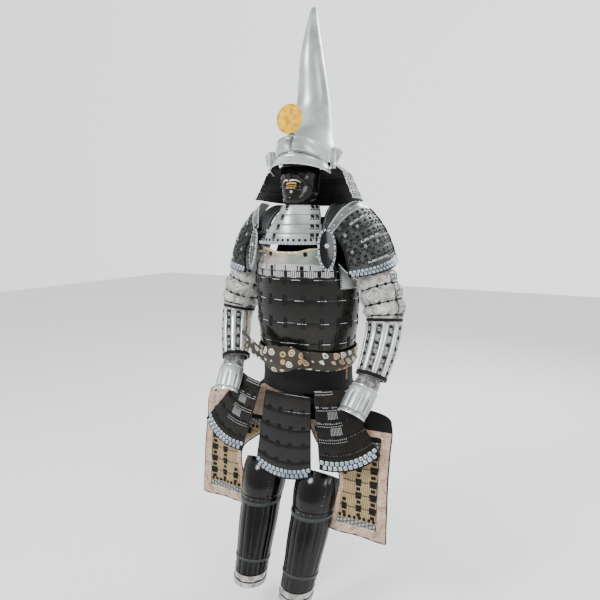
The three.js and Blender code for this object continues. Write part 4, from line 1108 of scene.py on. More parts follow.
THROAT = Table("height half ends front sweep", [
    (1372, 60, -34, -120, 80), (1342, 74, -54, -137, 70), (1312, 90, -80, -150, 60),
    (1284, 104, -104, -161, 52), (1252, 116, -122, -170, 46),
])  # fmt: skip
THROAT_EDGES = (1372, 1342, 1312, 1284, 1252)


def throat_surface(u, height):
    row = THROAT(height)
    most = np.radians(row.sweep)
    angle = lerp(-most, most, u)
    bend = (1 - np.cos(angle)) / (1 - np.cos(most))
    return point(row.half * np.sin(angle) / np.sin(most), lerp(row.front, row.ends, bend), height)


def sparse_laces(piece, form, places, tall):
    """Single laces on a smooth lame: a black square, two small marks and a pale bow below."""
    u = np.array(places)
    half = 4.0 / form.width(0.5)
    piece.pads(form.at(u, 6.5 / tall, LAME_LIFT), (12, 11, 1.8), "black_silk")
    for shift in (-half, half):
        piece.bars(form.at(u + shift, 15 / tall, LAME_LIFT * 0.7), (4.6, 4.6, 1.6), "black_silk")
        piece.bars(form.at(u + shift * 0.9, 20.5 / tall, 1.0), (5.0, 5.0, 1.8), "white_silk")


def throat_guard():
    for index, (top, bottom) in enumerate(zip(THROAT_EDGES, THROAT_EDGES[1:])):
        name = f"throat_lame_{index + 1}"
        piece = Piece(f"throat_dress_{index + 1}", "silver_lace", name)
        form = Form(lambda u, v: throat_surface(u, lerp(top - SEAM, bottom, v)), axis(1372))
        piece.shell(form, 110, lame_rows(), "silver", "inner_lacquer", edge="inner_lacquer")
        # A thin dark cord along each lame's lower edge: a painted shade line where the lames meet.
        piece.edge(form, shares(80), 0.985, 0.8, "painted_groove_shade", lift=0.3)
        sparse_laces(piece, form, (0.06, 0.13, 0.46 - 0.035 * index, 0.87, 0.94), top - bottom)
        piece.rims(form, (0.004, 0.996), shares(8), 2.0, "lacquer", lift=0.4)
        if index == 3:
            dots = np.linspace(0.07, 0.93, 13)
            piece.domes(form.at(dots, 0.64, 0.8), (9.6, 9.6, 2.8), "black_silk")
            u = shares(150)
            piece.edge(form, u, 0.93, 4.4, "rope", lift=1.4, twist=70, sides=10)
            piece.edge(form, u, 1.0, 2.2, "blue_lace", lift=-0.6, twist=90)
        piece.build()


# ---------------------------------------------------------------- cuirass

TORSO = Table("height half front back", [
    (752, 164, -138, 146), (800, 160, -136, 137), (841, 159, -136, 132), (868, 160, -136, 132),
    (933, 171, -142, 139), (1001, 179, -147, 144), (1076, 180, -148, 146), (1142, 176, -149, 146),
    (1185, 170, -149, 144), (1240, 158, -147, 138), (1300, 148, -132, 122), (1344, 138, -112, 96),
])  # fmt: skip
CUIRASS_LAMES = (1142, 1076, 1001, 933, 868)
CHEST_TOP, CHEST_DIP = 1238, 13
BACK_TOP = 1336
SIDE_TOP, SIDE_DIP, SIDE_LOW, SIDE_OUT = 1192, 58, 1110, 6.4
CHEST_LACED = 1185  # the foot of the chest plate, where its laced lame starts
OPENING = math.radians(-92)


def torso(angle, height, outward=0.0):
    x, y = oval(TORSO(height), angle, outward)
    return point(x, y, height)


def torso_core(u, v):
    return point(0, 0, lerp(1240, 860, np.asarray(v, float))) + 0 * np.asarray(u)[..., None]


def torso_form(first, last, top, bottom):
    """A wall round the body between two angles and two heights."""
    return Form(lambda u, v: torso(lerp(first, last, u), lerp(top, bottom, v)), torso_core)


SILK_WIDTH, SILK_GAP = 4.6, 7.5


def silk_pairs(piece, form, places, top, bottom, lift=LAME_LIFT):
    """Pairs of flat laces that run down over a lame's edge."""
    half = SILK_GAP / form.width(0.5) / 2
    for u in places:
        for side in (-half, half):
            v = np.linspace(top, bottom, 4)
            high = lift * (1 - v * 0.9) + 0.4
            piece.strap(form, u + side, v, SILK_WIDTH, 1.3, "black_silk", lift=high)


def cuirass_lames():
    first, last = OPENING + math.radians(0.8), OPENING + TURN - math.radians(0.8)
    for index, (top, bottom) in enumerate(zip(CUIRASS_LAMES, CUIRASS_LAMES[1:])):
        piece = Piece(f"cuirass_dress_{index + 1}", "lacquer", f"cuirass_lame_{index + 1}")
        form = torso_form(first, last, top - SEAM, bottom)
        piece.shell(form, 160, lame_rows(), "lacquer_scales", "inner_lacquer")
        u = shares(240)
        piece.edge(form, u, 0.03, 0.9, "lacquer", lift=LAME_LIFT * 0.6)
        places = (np.arange(18) + 0.5) / 18
        silk_pairs(piece, form, places, 0.04, 0.30)
        silk_pairs(piece, form, places, 0.80, 0.985)
        # Short bright bars along each lame's upper edge are painted glints, where light would catch the
        # rounded edge.
        painted_glints = (np.arange(15) + 0.3 + 0.12 * index) / 15
        piece.bars(form.at(painted_glints, 0.05, LAME_LIFT), (30, 1.9, 0.8), "bright")
        if index == 1:
            ties = np.array([0.004, 0.996])
            piece.pads(form.at(ties, 0.5, 2.0), (12, 20, 4), "black_silk")
        piece.build()


def chest_laced_lame():
    """Two rows of silver lacing: a plaited row, then ribbed blocks with a stepped lower edge."""
    piece = Piece("chest_laced_dress", "silver_lace", "chest_laced_lame")
    spread = math.radians(57)
    form = torso_form(-spread, spread, CHEST_LACED, CUIRASS_LAMES[0] + SEAM)
    piece.shell(form, 120, lame_rows(), "lacquer_scales", "inner_lacquer")
    width = form.width()
    for u in np.linspace(0.02, 0.98, 9)[:-1]:
        here = np.linspace(u + 0.006, u + 0.113, 12)
        middle, across, _, out = form.at(here, 0.2, 2.2)
        section = [(-8.5, -0.6), (-8.5, 1.0), (-7.6, 1.8), (7.6, 1.8), (8.5, 1.0), (8.5, -0.6)]
        down = np.cross(across, out)
        piece.sweep(middle, down, out, section, "pale_lace")
    marks = np.linspace(0.02, 0.98, 4)
    piece.pads(form.at(marks, 0.22, 3.6), (13, 14, 2.0), "black_silk")
    blocks = (np.arange(6) + 0.5) / 6 * 0.96 + 0.02
    block = width * 0.96 / 6 * 0.70
    for rib in np.linspace(-0.5, 0.5, 7):
        tall = 21 if abs(rib) < 0.3 else 16.5
        here = form.at(blocks + rib * block / width, 0.68, 1.2)
        piece.bars(here, (block / 9.4, tall, 1.9), "white_silk")
    between = np.arange(7) / 6 * 0.96 + 0.02
    piece.pads(form.at(between, 0.66, 2.4), (12, 14, 2.0), "black_silk")
    return piece.build()


def chest_plate():
    piece = Piece("chest_plate_dress", "silver", "chest_plate")
    wide, narrow = math.radians(48), math.radians(38)

    def surface(u, v):
        spread = lerp(narrow, wide, v)
        angle = lerp(-spread, spread, u)
        top = CHEST_TOP - CHEST_DIP * np.exp(-((angle / math.radians(24)) ** 4))
        rim = 4 * np.maximum(0, 1 - np.maximum(v, 0) * 5)
        return torso(angle, lerp(top, CHEST_LACED + SEAM, v), rim)

    form = Form(surface, torso_core)
    piece.shell(form, 64, shares(22), "chest_silver", "inner_lacquer")
    u = np.linspace(0.01, 0.99, 80)
    piece.edge(form, u, 0.02, 3.4, "cream_rim", lift=0.6, sides=10)
    piece.edge(form, u, 0.985, 1.5, "bright", lift=0.6)
    piece.rims(form, (0.006, 0.994), np.linspace(0.04, 0.98, 20), 1.8, "bright", lift=0.4)
    piece.pads(form.at(np.array([0.22, 0.78]), 0.28, 0.4), (12, 14, 2), "black_silk")
    piece.domes(form.at(np.array([0.08, 0.92]), 0.5, 0.2), (7, 7, 2.4), "bright")
    return piece.build()


def back_plate():
    piece = Piece("back_plate_dress", "lacquer", "back_plate")
    wide, narrow = math.radians(76), math.radians(50)

    def surface(u, v):
        spread = lerp(narrow, wide, np.sqrt(np.maximum(v, 0)))
        return torso(math.pi + lerp(-spread, spread, u), lerp(BACK_TOP, CUIRASS_LAMES[0] + SEAM, v))

    form = Form(surface, torso_core)
    piece.shell(form, 84, lame_rows(3), "lacquer_scales", "inner_lacquer")
    u = np.linspace(0.004, 0.996, 90)
    piece.edge(form, u, 0.004, 2.6, "lacquer", lift=0.6)
    piece.rims(form, (0.004, 0.996), np.linspace(0.02, 0.99, 30), 1.8, "lacquer", lift=0.4)
    for row in range(3):
        places = (np.arange(9) + 0.5) / 9
        silk_pairs(piece, form, places, row / 3 + 0.02, row / 3 + 0.10)
        if row < 2:
            silk_pairs(piece, form, places, row / 3 + 0.27, row / 3 + 0.325)
    return piece.build()


def side_plates():
    front, rear = math.radians(59), math.radians(96)
    for side, sign in SIDES:
        piece = Piece(f"side_plate_dress_{side}", "silver", f"side_plate_{side}")

        def surface(u, v):
            armhole = SIDE_TOP - SIDE_DIP * np.clip(u * 1.6, 0, 1) ** 0.8
            return torso(sign * lerp(front, rear, u), lerp(armhole, SIDE_LOW, v), SIDE_OUT)

        form = Form(surface, torso_core)
        piece.shell(form, 50, even(24), "silver", "inner_lacquer")
        u = np.linspace(0.01, 0.99, 40)
        piece.edge(form, u, 0.0, 2.0, "bright", lift=-0.6)
        piece.edge(form, u, 1.0, 1.6, "bright", lift=-0.6)
        beads = np.linspace(0.06, 0.94, 10)
        piece.domes(form.at(0.05, beads, 0.3), (5.4, 5.4, 2.6), "lacquer")
        piece.edge(form, 0.004, shares(20), 1.8, "black_silk")
        piece.build()


STRAP_PATH = (
    (92, 115, 1306), (93, 110, 1340), (98, 80, 1362), (106, 24, 1377), (116, -34, 1359),
    (123, -78, 1322), (126, -102, 1276), (123, -111, 1246),
)  # fmt: skip
PENDANT = {"x": 133, "y": -129, "height": 1232, "half": 27, "tall": 67, "thick": 4.5}
PENDANT_TURN, PENDANT_TILT = math.radians(38), math.radians(-8)


def shoulder_straps():
    for side, sign in SIDES:
        piece = Piece(f"strap_dress_{side}", "leather", f"shoulder_strap_{side}")
        path = Curve(STRAP_PATH, sign)
        form = Form(
            lambda u, v: path.at(v) + point((np.asarray(u) - 0.5) * 54, 0, 0),
            fixed(point(92 * sign, 0, 1142)),
        )
        crown = lambda u, v: 1.1 * (1 - (2 * u - 1) ** 4)
        piece.shell(form, 16, shares(60), "leather", "lining", 4.2, relief=crown)
        v = shares(90)
        piece.rims(form, (0.02, 0.98), v, 1.7, "black_silk", lift=-0.6, guide=(1, 0, 0))
        stitches = np.linspace(0.02, 0.98, 46)
        for edge in (0.13, 0.87):
            piece.bars(form.at(edge, stitches, 0.9), (1.2, 4.2, 0.7), "blue_lace")
        # a horn toggle and its cord loop hold the strap's end to the chest plate
        start, _, _, _ = form.at(0.5, 0.97, 3.0)
        chest = torso(sign * math.radians(43), 1226, 5.5)
        loop = Curve([start, lerp(start, chest, 0.45) + (0, -5, 4), chest]).at(shares(18))
        piece.tube(loop, 2.3, "black_silk", twist=0)
        toggle = Curve([chest + (-9 * sign, -2, -1), chest + (0, -3.5, 0), chest + (9 * sign, -2, 1)])
        fat = 3.4 * np.sin(np.linspace(0.12, math.pi - 0.12, 14)) ** 0.5
        piece.tube(toggle.at(shares(14)), fat, "ivory", sides=10)
        piece.build()


def pendants():
    """Leaf-shaped plates with a braided rim and a small flower boss."""
    half, tall, thick = PENDANT["half"], PENDANT["tall"], PENDANT["thick"]
    t = shares(26)[:-1, None]

    def bezier(a, b, c, d):
        a, b, c, d = (np.array(p, float) for p in (a, b, c, d))
        return a * (1 - t) ** 3 + 3 * b * t * (1 - t) ** 2 + 3 * c * t**2 * (1 - t) + d * t**3

    right = [
        bezier((0, tall), (half * 0.9, tall * 0.96), (half, tall * 0.5), (half, 0)),
        bezier((half, 0), (half, -tall * 0.6), (half * 0.5, -tall * 0.8), (0, -tall)),
    ]
    leaf = np.vstack([*right, *(part[::-1] * (-1, 1) for part in right[::-1])])
    rise = math.pi / 2 + PENDANT_TILT
    for side, sign in SIDES:
        piece = Piece(f"pendant_dress_{side}", "lacquer", f"strap_pendant_{side}")

        def place(flat, depth):
            flat = np.asarray(flat, float)
            x, y, z = flat[..., 0], flat[..., 1], depth + 0 * flat[..., 0]
            y, z = y * math.cos(rise) - z * math.sin(rise), y * math.sin(rise) + z * math.cos(rise)
            cos, sin = math.cos(sign * PENDANT_TURN), math.sin(sign * PENDANT_TURN)
            x, y = x * cos - y * sin, x * sin + y * cos
            return point(x + sign * PENDANT["x"], y + PENDANT["y"], z + PENDANT["height"])

        sizes = (0.02, 0.35, 0.7, 0.9, 1, 1, 0.9, 0.5, 0.02)
        depths = (thick + 2.4, thick + 2.2, thick + 1.2, thick + 0.2, thick - 0.6, 0.6, 0, 0, 0)
        rings = np.stack([place(leaf * size, depth) for size, depth in zip(sizes, depths)])
        cloth = np.stack([leaf * size for size in sizes]) * MM
        faces = grid_faces(len(sizes), len(leaf), True)
        piece.add(rings, faces, "lacquer", cloth)
        around = np.arange(len(leaf))
        piece.caps([around[::-1], (len(sizes) - 1) * len(leaf) + around])
        outward = unit(place((0, 0), 1.0) - place((0, 0), 0.0))
        rim = place(leaf * 0.94, thick * 0.75)
        piece.tube(rim, 3.6, "rope", closed=True, twist=75, guide=outward, sides=10)
        right_way = unit(place((1, 0), 0.0) - place((0, 0), 0.0))
        flat_on = (right_way, np.cross(right_way, outward), outward)
        here = lambda points: (points, *(np.tile(way, (len(points), 1)) for way in flat_on))
        dots = place(leaf[::5] * 0.94, thick * 0.75 + 3.0)
        piece.domes(here(dots), (5.6, 5.6, 1.8), "black_silk")
        petals = np.array([(math.cos(a) * 4.8, math.sin(a) * 4.8 + 14) for a in np.arange(6) * math.pi / 3])
        flower = place(np.vstack([petals, [(0, 14)]]), thick + 2.0)
        across, high = np.array([6.2] * 6 + [5.6]), np.array([2.2] * 6 + [4.0])
        piece.domes(here(flower), (across, across, high), "bright")
        cord = Curve([place((0, 62), thick + 1), place((0, 72), 2.0), place((-3, 82), -4.0)])
        piece.tube(cord.at(shares(12)), 2.0, "black_silk")
        piece.build()


WAIST_LOW, WAIST_LACES = 762, 100


def waist_lacing():
    """A curtain of flat black laces from the cuirass to the skirt plates."""
    piece = Piece("waist_lacing_dress", "black_lace", "waist_lacing")
    form = torso_form(0, TURN, CUIRASS_LAMES[-1] - SEAM, WAIST_LOW)

    def ridge(u, v):
        cords = 0.9 * np.abs(np.sin(math.pi * WAIST_LACES * u)) ** 0.5
        return cords + 0.8 * np.sin(v * 9 + 14 * u)

    piece.shell(form, WAIST_LACES * 4, shares(7), "black_silk", "black_silk", 2.4, True, ridge)
    return piece.build()


# ---------------------------------------------------------------- skirt plates

SKIRT_LAMES = 5
FRONT_PLATE = (((-86, -144, 759), (86, -144, 759), (-106, -180, 502), (106, -180, 502)), 10, 24)
SPREAD_PLATE = (((101, -148, 784), (190, -122, 798), (150, -202, 548), (334, -158, 617)), 14, 20)
RING_PLATES = (("side", 60, 112, 67, 116), ("back", 117, 176, 120, 176))
SKIRT_TOP = SimpleNamespace(half=174, front=-150, back=158, height=760)
SKIRT_HEM = SimpleNamespace(half=252, front=-200, back=232, height=508)


def ring_place(ring, degrees):
    return *oval(ring, math.radians(degrees)), ring.height


def skirt_form(corners, bulge, sag, sign=1):
    a, b, c, d = (np.array(corner, float) * (sign, 1, 1) for corner in corners)
    out = (c + d) * (1, 1, 0)
    out = out / np.linalg.norm(out)

    def surface(u, v):
        u, v = np.asarray(u, float)[..., None], np.asarray(v, float)[..., None]
        arch = 4 * u * (1 - u)
        flat = lerp(lerp(a, b, u), lerp(c, d, u), v)
        return flat + out * bulge * arch * lerp(0.5, 1, v) - arch * v * sag * np.array((0, 0, 1.0))

    return Form(surface, axis(c[2]))


def check_band(piece, form, low=0.985, lift=0.6, pitch=LACE_PITCH, size=(12.6, 12.2)):
    """Two staggered rows of silver pads along a lower edge, on a black ground."""
    count = round(form.width(0.98) / pitch)
    tall = form.height()
    ground = low - (size[1] + 1.5) / tall
    piece.strap(form, np.linspace(0.004, 0.996, 80), ground, size[1] * 2 + 6, 0.9, "black_silk", lift=lift)
    for row in range(2):
        u = (np.arange(count - row) + 0.5 + 0.5 * row) / count
        v = low - (1 - row) * (size[1] + 2.4) / tall - size[1] / 2 / tall
        piece.pads(form.at(u, v, lift + 0.8), (*size, 2.6), "pad")


def skirt_plate(name, form, patch=None):
    piece = Piece(f"{name}_dress", "lacquer", name)
    piece.shell(form, 44, lame_rows(SKIRT_LAMES), "lacquer_scales", "inner_lacquer")
    u = np.linspace(0.004, 0.996, 60)
    for lame in range(SKIRT_LAMES):
        piece.edge(form, u, (lame + 0.03) / SKIRT_LAMES, 0.9, "lacquer", lift=LAME_LIFT * 0.6)
    piece.edge(form, u, 0.998, 1.8, "black_silk", lift=-0.6)
    piece.rims(form, (0.004, 0.996), np.linspace(0.01, 0.99, 50), 1.5, "lacquer", lift=0.6)
    places = np.linspace(0.14, 0.86, 4)
    for lame in range(SKIRT_LAMES - 1):
        for top, bottom, lift in ((0.86, 0.995, 1.4), (1.02, 1.22, LAME_LIFT)):
            top, bottom = (lame + top) / SKIRT_LAMES, (lame + bottom) / SKIRT_LAMES
            silk_pairs(piece, form, places, top, bottom, lift=lift)
    check_band(piece, form)
    if patch:
        silver_patch(piece, form, *patch)
    return piece.build()


def silver_patch(piece, form, first, last, lames):
    """Rows of silver dots under the lames' edges, and combs of fine silver laces."""
    for lame in range(SKIRT_LAMES - 1):
        for row in (0.10, 0.26):
            dots = np.linspace(0.04, last + 0.05, round(form.width(0.5) * (last + 0.01) / 5.6))
            here = form.at(dots, (lame + row) / SKIRT_LAMES, LAME_LIFT)
            piece.bars(here, (2.6, 2.2, 0.8), "bright")
    tall = form.height() / SKIRT_LAMES * 0.46
    for lame in lames:
        v = (lame + 0.58) / SKIRT_LAMES
        u = np.linspace(first, last, round((last - first) * form.width(v) / 4.2))
        piece.bars(form.at(u, v, 1.6), (1.3, tall, 1.2), "bright")


def skirt_plates():
    skirt_plate("skirt_plate_front", skirt_form(*FRONT_PLATE))
    for side, sign in SIDES:
        skirt_plate(f"skirt_plate_front_{side}", skirt_form(*SPREAD_PLATE, sign), (0.30, 0.52, (1, 2)))
        for name, top_near, top_far, low_near, low_far in RING_PLATES:
            top = [ring_place(SKIRT_TOP, degrees) for degrees in (top_near, top_far)]
            hem = [ring_place(SKIRT_HEM, degrees) for degrees in (low_near, low_far)]
            skirt_plate(f"skirt_plate_{name}_{side}", skirt_form((*top, *hem), 16, 14, sign))


# ---------------------------------------------------------------- sash


def waves(share, table):
    return sum(size * np.sin(TURN * count * share + shift) for size, count, shift in table)


SASH_TOP, SASH_LOW, SASH_OUT = 905, 842, 10.2
SASH_FOLDS = ((6, 0.5, 0), (2.5, 1.5, 0.4))
SASH_SLACK = ((3, 3, 1), (2, 5, 0))


def sash_band():
    piece = Piece("sash_band_dress", "sash_cloth", "sash_band")

    def surface(u, v):
        height = lerp(SASH_TOP, SASH_LOW, v) + waves(u, SASH_SLACK)
        return torso(u * TURN, height, SASH_OUT + waves(v, SASH_FOLDS))

    folds = lambda u, v: (
        1.6 * wave(v * 2.6 + 0.5 * np.sin(TURN * u))
        + 1.0 * wave(v * 1.4 + 5 * u)
    ) * np.sin(np.clip(v, 0, 1) * math.pi)
    form = Form(surface, axis(SASH_LOW))
    piece.shell(form, 170, shares(26), "sash", "sash", 3.6, True, folds)
    made = piece.build()
    form.flat()


KNOT = SimpleNamespace(x=2, y=-176, height=884, half=72, deep=20, tall=50, taper=0.15, rise=10)


def sash_knot():
    """Folded cloth tied at the front: one rounded body with deep folds across it."""
    piece = Piece("sash_knot_dress", "sash_cloth", "sash_knot")

    def surface(u, v):
        turn, side = np.asarray(u) * TURN, np.cos(np.asarray(v) * math.pi)
        folds = 0.1 * np.cos(3 * turn + 2.5 * side) + 0.06 * np.cos(5 * turn - 4 * side)
        girth = np.sin(np.clip(v, 0, 1) * math.pi) ** 0.6 * (1 + folds)
        tall = KNOT.tall * (1 - KNOT.taper * (1 + side))
        return point(
            KNOT.x + KNOT.half * side,
            KNOT.y + KNOT.deep * girth * np.cos(turn),
            KNOT.height + tall * girth * np.sin(turn) + KNOT.rise * side**2,
        )

    def creases(u, v):
        side = np.cos(v * math.pi)
        slant = u * TURN + 0.9 * side
        near_ends = np.sin(v * math.pi)
        deep = -3.4 * bell(np.mod(slant, math.pi), 1.1, 0.16)
        deep = deep - 2.6 * bell(np.mod(slant + 0.9 * side, math.pi), 2.1, 0.13)
        return (deep - 3.0 * bell(side, 0.22 + 0.12 * np.sin(slant), 0.05)) * near_ends

    middle = lambda u, v: point(KNOT.x + KNOT.half * np.cos(v * math.pi), KNOT.y, KNOT.height)
    form = Form(surface, middle)
    rows, sides = 70, 120
    u, v = np.meshgrid(shares(sides + 1)[:-1], np.linspace(0.02, 0.98, rows))
    outer, _, _, out = form.at(u, v, creases(u, v))
    cloth = outer[..., [0, 2]] * MM
    faces = grid_faces(rows, sides, True)
    flip = piece._faces_inwards(outer, out, faces)
    piece.add(outer, faces[:, ::-1] if flip else faces, "sash", cloth)
    ends = np.stack([np.arange(sides)[::-1], (rows - 1) * sides + np.arange(sides)])
    piece.caps(ends[:, ::-1] if flip else ends)
    piece.build()


TAIL_PATH = ((-76, -180, 892), (-100, -174, 904), (-130, -162, 915), (-160, -145, 924), (-184, -130, 930))


def sash_tail():
    piece = Piece("sash_tail_dress", "sash_cloth", "sash_tail")
    curve = Curve(TAIL_PATH)

    def surface(u, v):
        across = (np.asarray(u) - 0.5) * lerp(50, 60, v)
        fold = 5 * np.sin(u * 2.5 * math.pi + 2 * v)
        return curve.at(np.clip(v, 0, 1)) + point(-0.2 * across, -fold, across)

    pleats = lambda u, v: 1.4 * wave(2.5 * u + 0.4 * v) * (1 - 0.5 * v)
    form = Form(surface, axis(905))
    piece.shell(form, 40, shares(60), "sash", "sash", 3.0, relief=pleats)
    made = piece.build()
    form.flat()


TASSEL = (175, -57, 862)  # where its cord leaves the sash


def sash_tassel():
    """A cord tassel tucked into the sash: a short cord, neck knot and thin strands."""
    piece = Piece("sash_tassel_dress", "tassel_cord", "sash_tassel")
    x, y, z = TASSEL
    drop = shares(16)
    piece.tube(point(x, y, z - 22 * drop), 1.8, "tassel", twist=120, guide=Y_AXIS)
    knot = np.sin(np.linspace(0.25, math.pi - 0.25, 12))
    neck = point(x, y, z - 20 - 8 * shares(12))
    piece.tube(neck, 3.6 * knot, "tassel", guide=Y_AXIS, sides=12)
    for ring in range(2):
        for a in np.arange(9 - 3 * ring) * TURN / (9 - 3 * ring) + ring * 0.4:
            spread = lerp(1.3, 2.8 - 1.4 * ring, drop)
            strand = point(x + np.cos(a) * spread, y + np.sin(a) * spread, z - 27 - 25 * drop)
            piece.tube(strand, 0.75, "tassel", sides=5, guide=Y_AXIS)
    piece.build()


# ---------------------------------------------------------------- shoulder guards

SHOULDER_GUARD = Table("at topX topY topZ lowX lowY lowZ", [
    (0, 128, -110, 1300, 196, -92, 1150), (0.33, 150, -72, 1352, 270, -74, 1162),
    (0.67, 172, -18, 1382, 303, 0, 1178), (1, 180, 46, 1380, 288, 88, 1192),
])  # fmt: skip
SHOULDER_LAMES = 6
SHOULDER_CAP = 0.12


def shoulder_form(sign, first, last):
    out = unit(np.array((0.8 * sign, -0.25, 0.55)))

    def surface(u, v):
        v = lerp(first, last, np.asarray(v, float))
        row = SHOULDER_GUARD(u)
        top = point(row.topX * sign, row.topY, row.topZ)
        low = point(row.lowX * sign, row.lowY, row.lowZ)
        bulge = 22 * np.sin(math.pi * np.clip(v / 0.952, 0, 1)) ** 0.9
        return lerp(top, low, v[..., None]) + out * bulge[..., None]

    return Form(surface, fixed(point(120 * sign, 20, 1120)))


def shoulder_guards():
    for side, sign in SIDES:
        cap = Piece(f"shoulder_cap_dress_{side}", "silver", f"shoulder_guard_cap_{side}")
        form = shoulder_form(sign, 0, SHOULDER_CAP)
        crown = lambda u, v: 1.6 * np.sin(math.pi * v)
        cap.shell(form, 70, even(18), "cap_silver", "inner_lacquer", relief=crown)
        u = np.linspace(0.004, 0.996, 60)
        cap.edge(form, u, 0.02, 2.0, "bright", lift=0.2)
        cap.edge(form, u, 0.98, 1.4, "bright", lift=0.6)
        cap.domes(form.at(np.linspace(0.1, 0.9, 5), 0.55, 1.4), (6, 6, 2), "bright")
        cap.build()
        piece = Piece(f"shoulder_dress_{side}", "silver_lace", f"shoulder_guard_{side}")
        form = shoulder_form(sign, SHOULDER_CAP + 0.002, 1)
        piece.shell(form, 84, lame_rows(SHOULDER_LAMES, 2.4), "aged_lame", "inner_lacquer", edge="lacquer")
        for lame in range(SHOULDER_LAMES):
            shoulder_lame(piece, form, lame)
        check_band(piece, form, 0.985, 0.8, 13.8, (9.8, 9.4))
        v = np.linspace(0.0, 0.998, 90)
        for edge in (0.003, 0.997):
            scallop = 1.2 + 1.3 * np.abs(np.sin(v * SHOULDER_LAMES * math.pi)) ** 0.6
            piece.edge(form, edge, v, 1.8 + scallop, "black_silk", lift=0.4)
        piece.edge(form, u, 0.998, 1.9, "black_silk", lift=-0.6)
        piece.build()


def shoulder_lame(piece, form, lame):
    """Lacing marks on one lame, which is widest at the foot of the guard."""
    if lame == SHOULDER_LAMES - 1:
        return
    place = lambda share: (lame + share) / SHOULDER_LAMES
    count = round(form.width(place(0.5)) / 25)
    u = (np.arange(count) + 0.5) / count
    studs = lambda u, share, size, material, high=1.6: piece.studs(
        form.at(u, place(share), high), SQUARE, PAD, size, material
    )
    studs(u, 0.24, (11.5, 8.4, 1.8), "black_silk")
    for shift in (-0.16, 0.16):
        studs(u + shift / count, 0.58, (4.0, 7.2, 1.5), "black_silk", 1.2)
    between = np.arange(1, count) / count
    if lame in (1, 3):
        for shift in (-0.10, 0.10):
            studs(between[::2] + shift / count, 0.36, (2.2, 9.5, 1.2), "pale_lace", 1.3)
    studs(between, 0.80, (7.0, 5.6, 1.6), "black_silk", 0.8)
    if lame % 2 == 0:
        u = np.linspace(0.30, 0.66, round(0.36 * form.width(place(0.5)) / 4.6))
        studs(u, 0.84, (2.2, 7.5, 1.6), "bright", 0.8)


# ---------------------------------------------------------------- sleeves

UPPER_ARM = (
    (178, 8, 1312), (214, 8, 1238), (236, 5, 1170), (262, 0, 1100), (281, -6, 1030), (284, -18, 975),
)  # fmt: skip
FOREARM = {"left": ((281, -52, 908), (272, -92, 836)), "right": ((268, -52, 908), (244, -92, 838))}
ELBOW = 0.618
ARM_GIRTH = Table("at wide deep", [
    (0, 36, 46), (0.143, 48, 52), (0.286, 48, 54), (0.31, 50, 55), (0.35, 65, 64), (0.4, 61, 60),
    (0.449, 70, 67), (0.5, 62, 61), (0.543, 68, 63), (0.59, 58, 56), (0.618, 56, 55), (0.7, 52, 51),
    (0.857, 50, 46), (1, 44, 39),
])  # fmt: skip
TIES = (0.314, 0.402, 0.502, 0.588)
GATHER = 1.15  # the cut's width, as a share of the girth it is gathered to


def limb_form(curve, girth, sign, angles, places, outward=0.0):
    """A wall round a limb between two angles and two places; angle 0 faces forwards."""

    def surface(u, v):
        angle = lerp(*angles, np.asarray(u, float))
        share = np.clip(lerp(*places, np.asarray(v, float)), 0, 1)
        angle, share = np.broadcast_arrays(angle, share)
        along = curve.along(share)
        outer = unit(np.array((sign, 0, 0.0)) - along * (sign * along[..., :1]))
        ahead = unit(np.cross(along, outer))
        ahead = np.where(ahead[..., 1:2] > 0, -ahead, ahead)
        row = girth(share)
        wide = ((row.wide + outward) * np.sin(angle))[..., None]
        deep = ((row.deep + outward) * np.cos(angle))[..., None]
        return curve.at(share) + outer * wide + ahead * deep

    return Form(surface, lambda u, v: curve.at(np.clip(lerp(*places, np.asarray(v, float)), 0, 1)))


def gathers(first, last):
    """Small folds of the sleeve cloth that run from each tie and fade out."""

    def relief(u, v):
        place = lerp(first, last, v)
        total = 0.7 * wave(3 * u + 2.2 * place + 0.2) * np.sin(9 * place)
        for number, tie in enumerate(TIES):
            reach = np.exp(-np.abs(place - tie) / 0.028)
            total += 1.9 * reach * wave(13 * u + 0.23 * number + 2.5 * (place - tie))
            total += 0.9 * reach * wave(29 * u + 0.4 * number)
            total -= 2.2 * bell(place, tie, 0.006)
        return total

    return relief


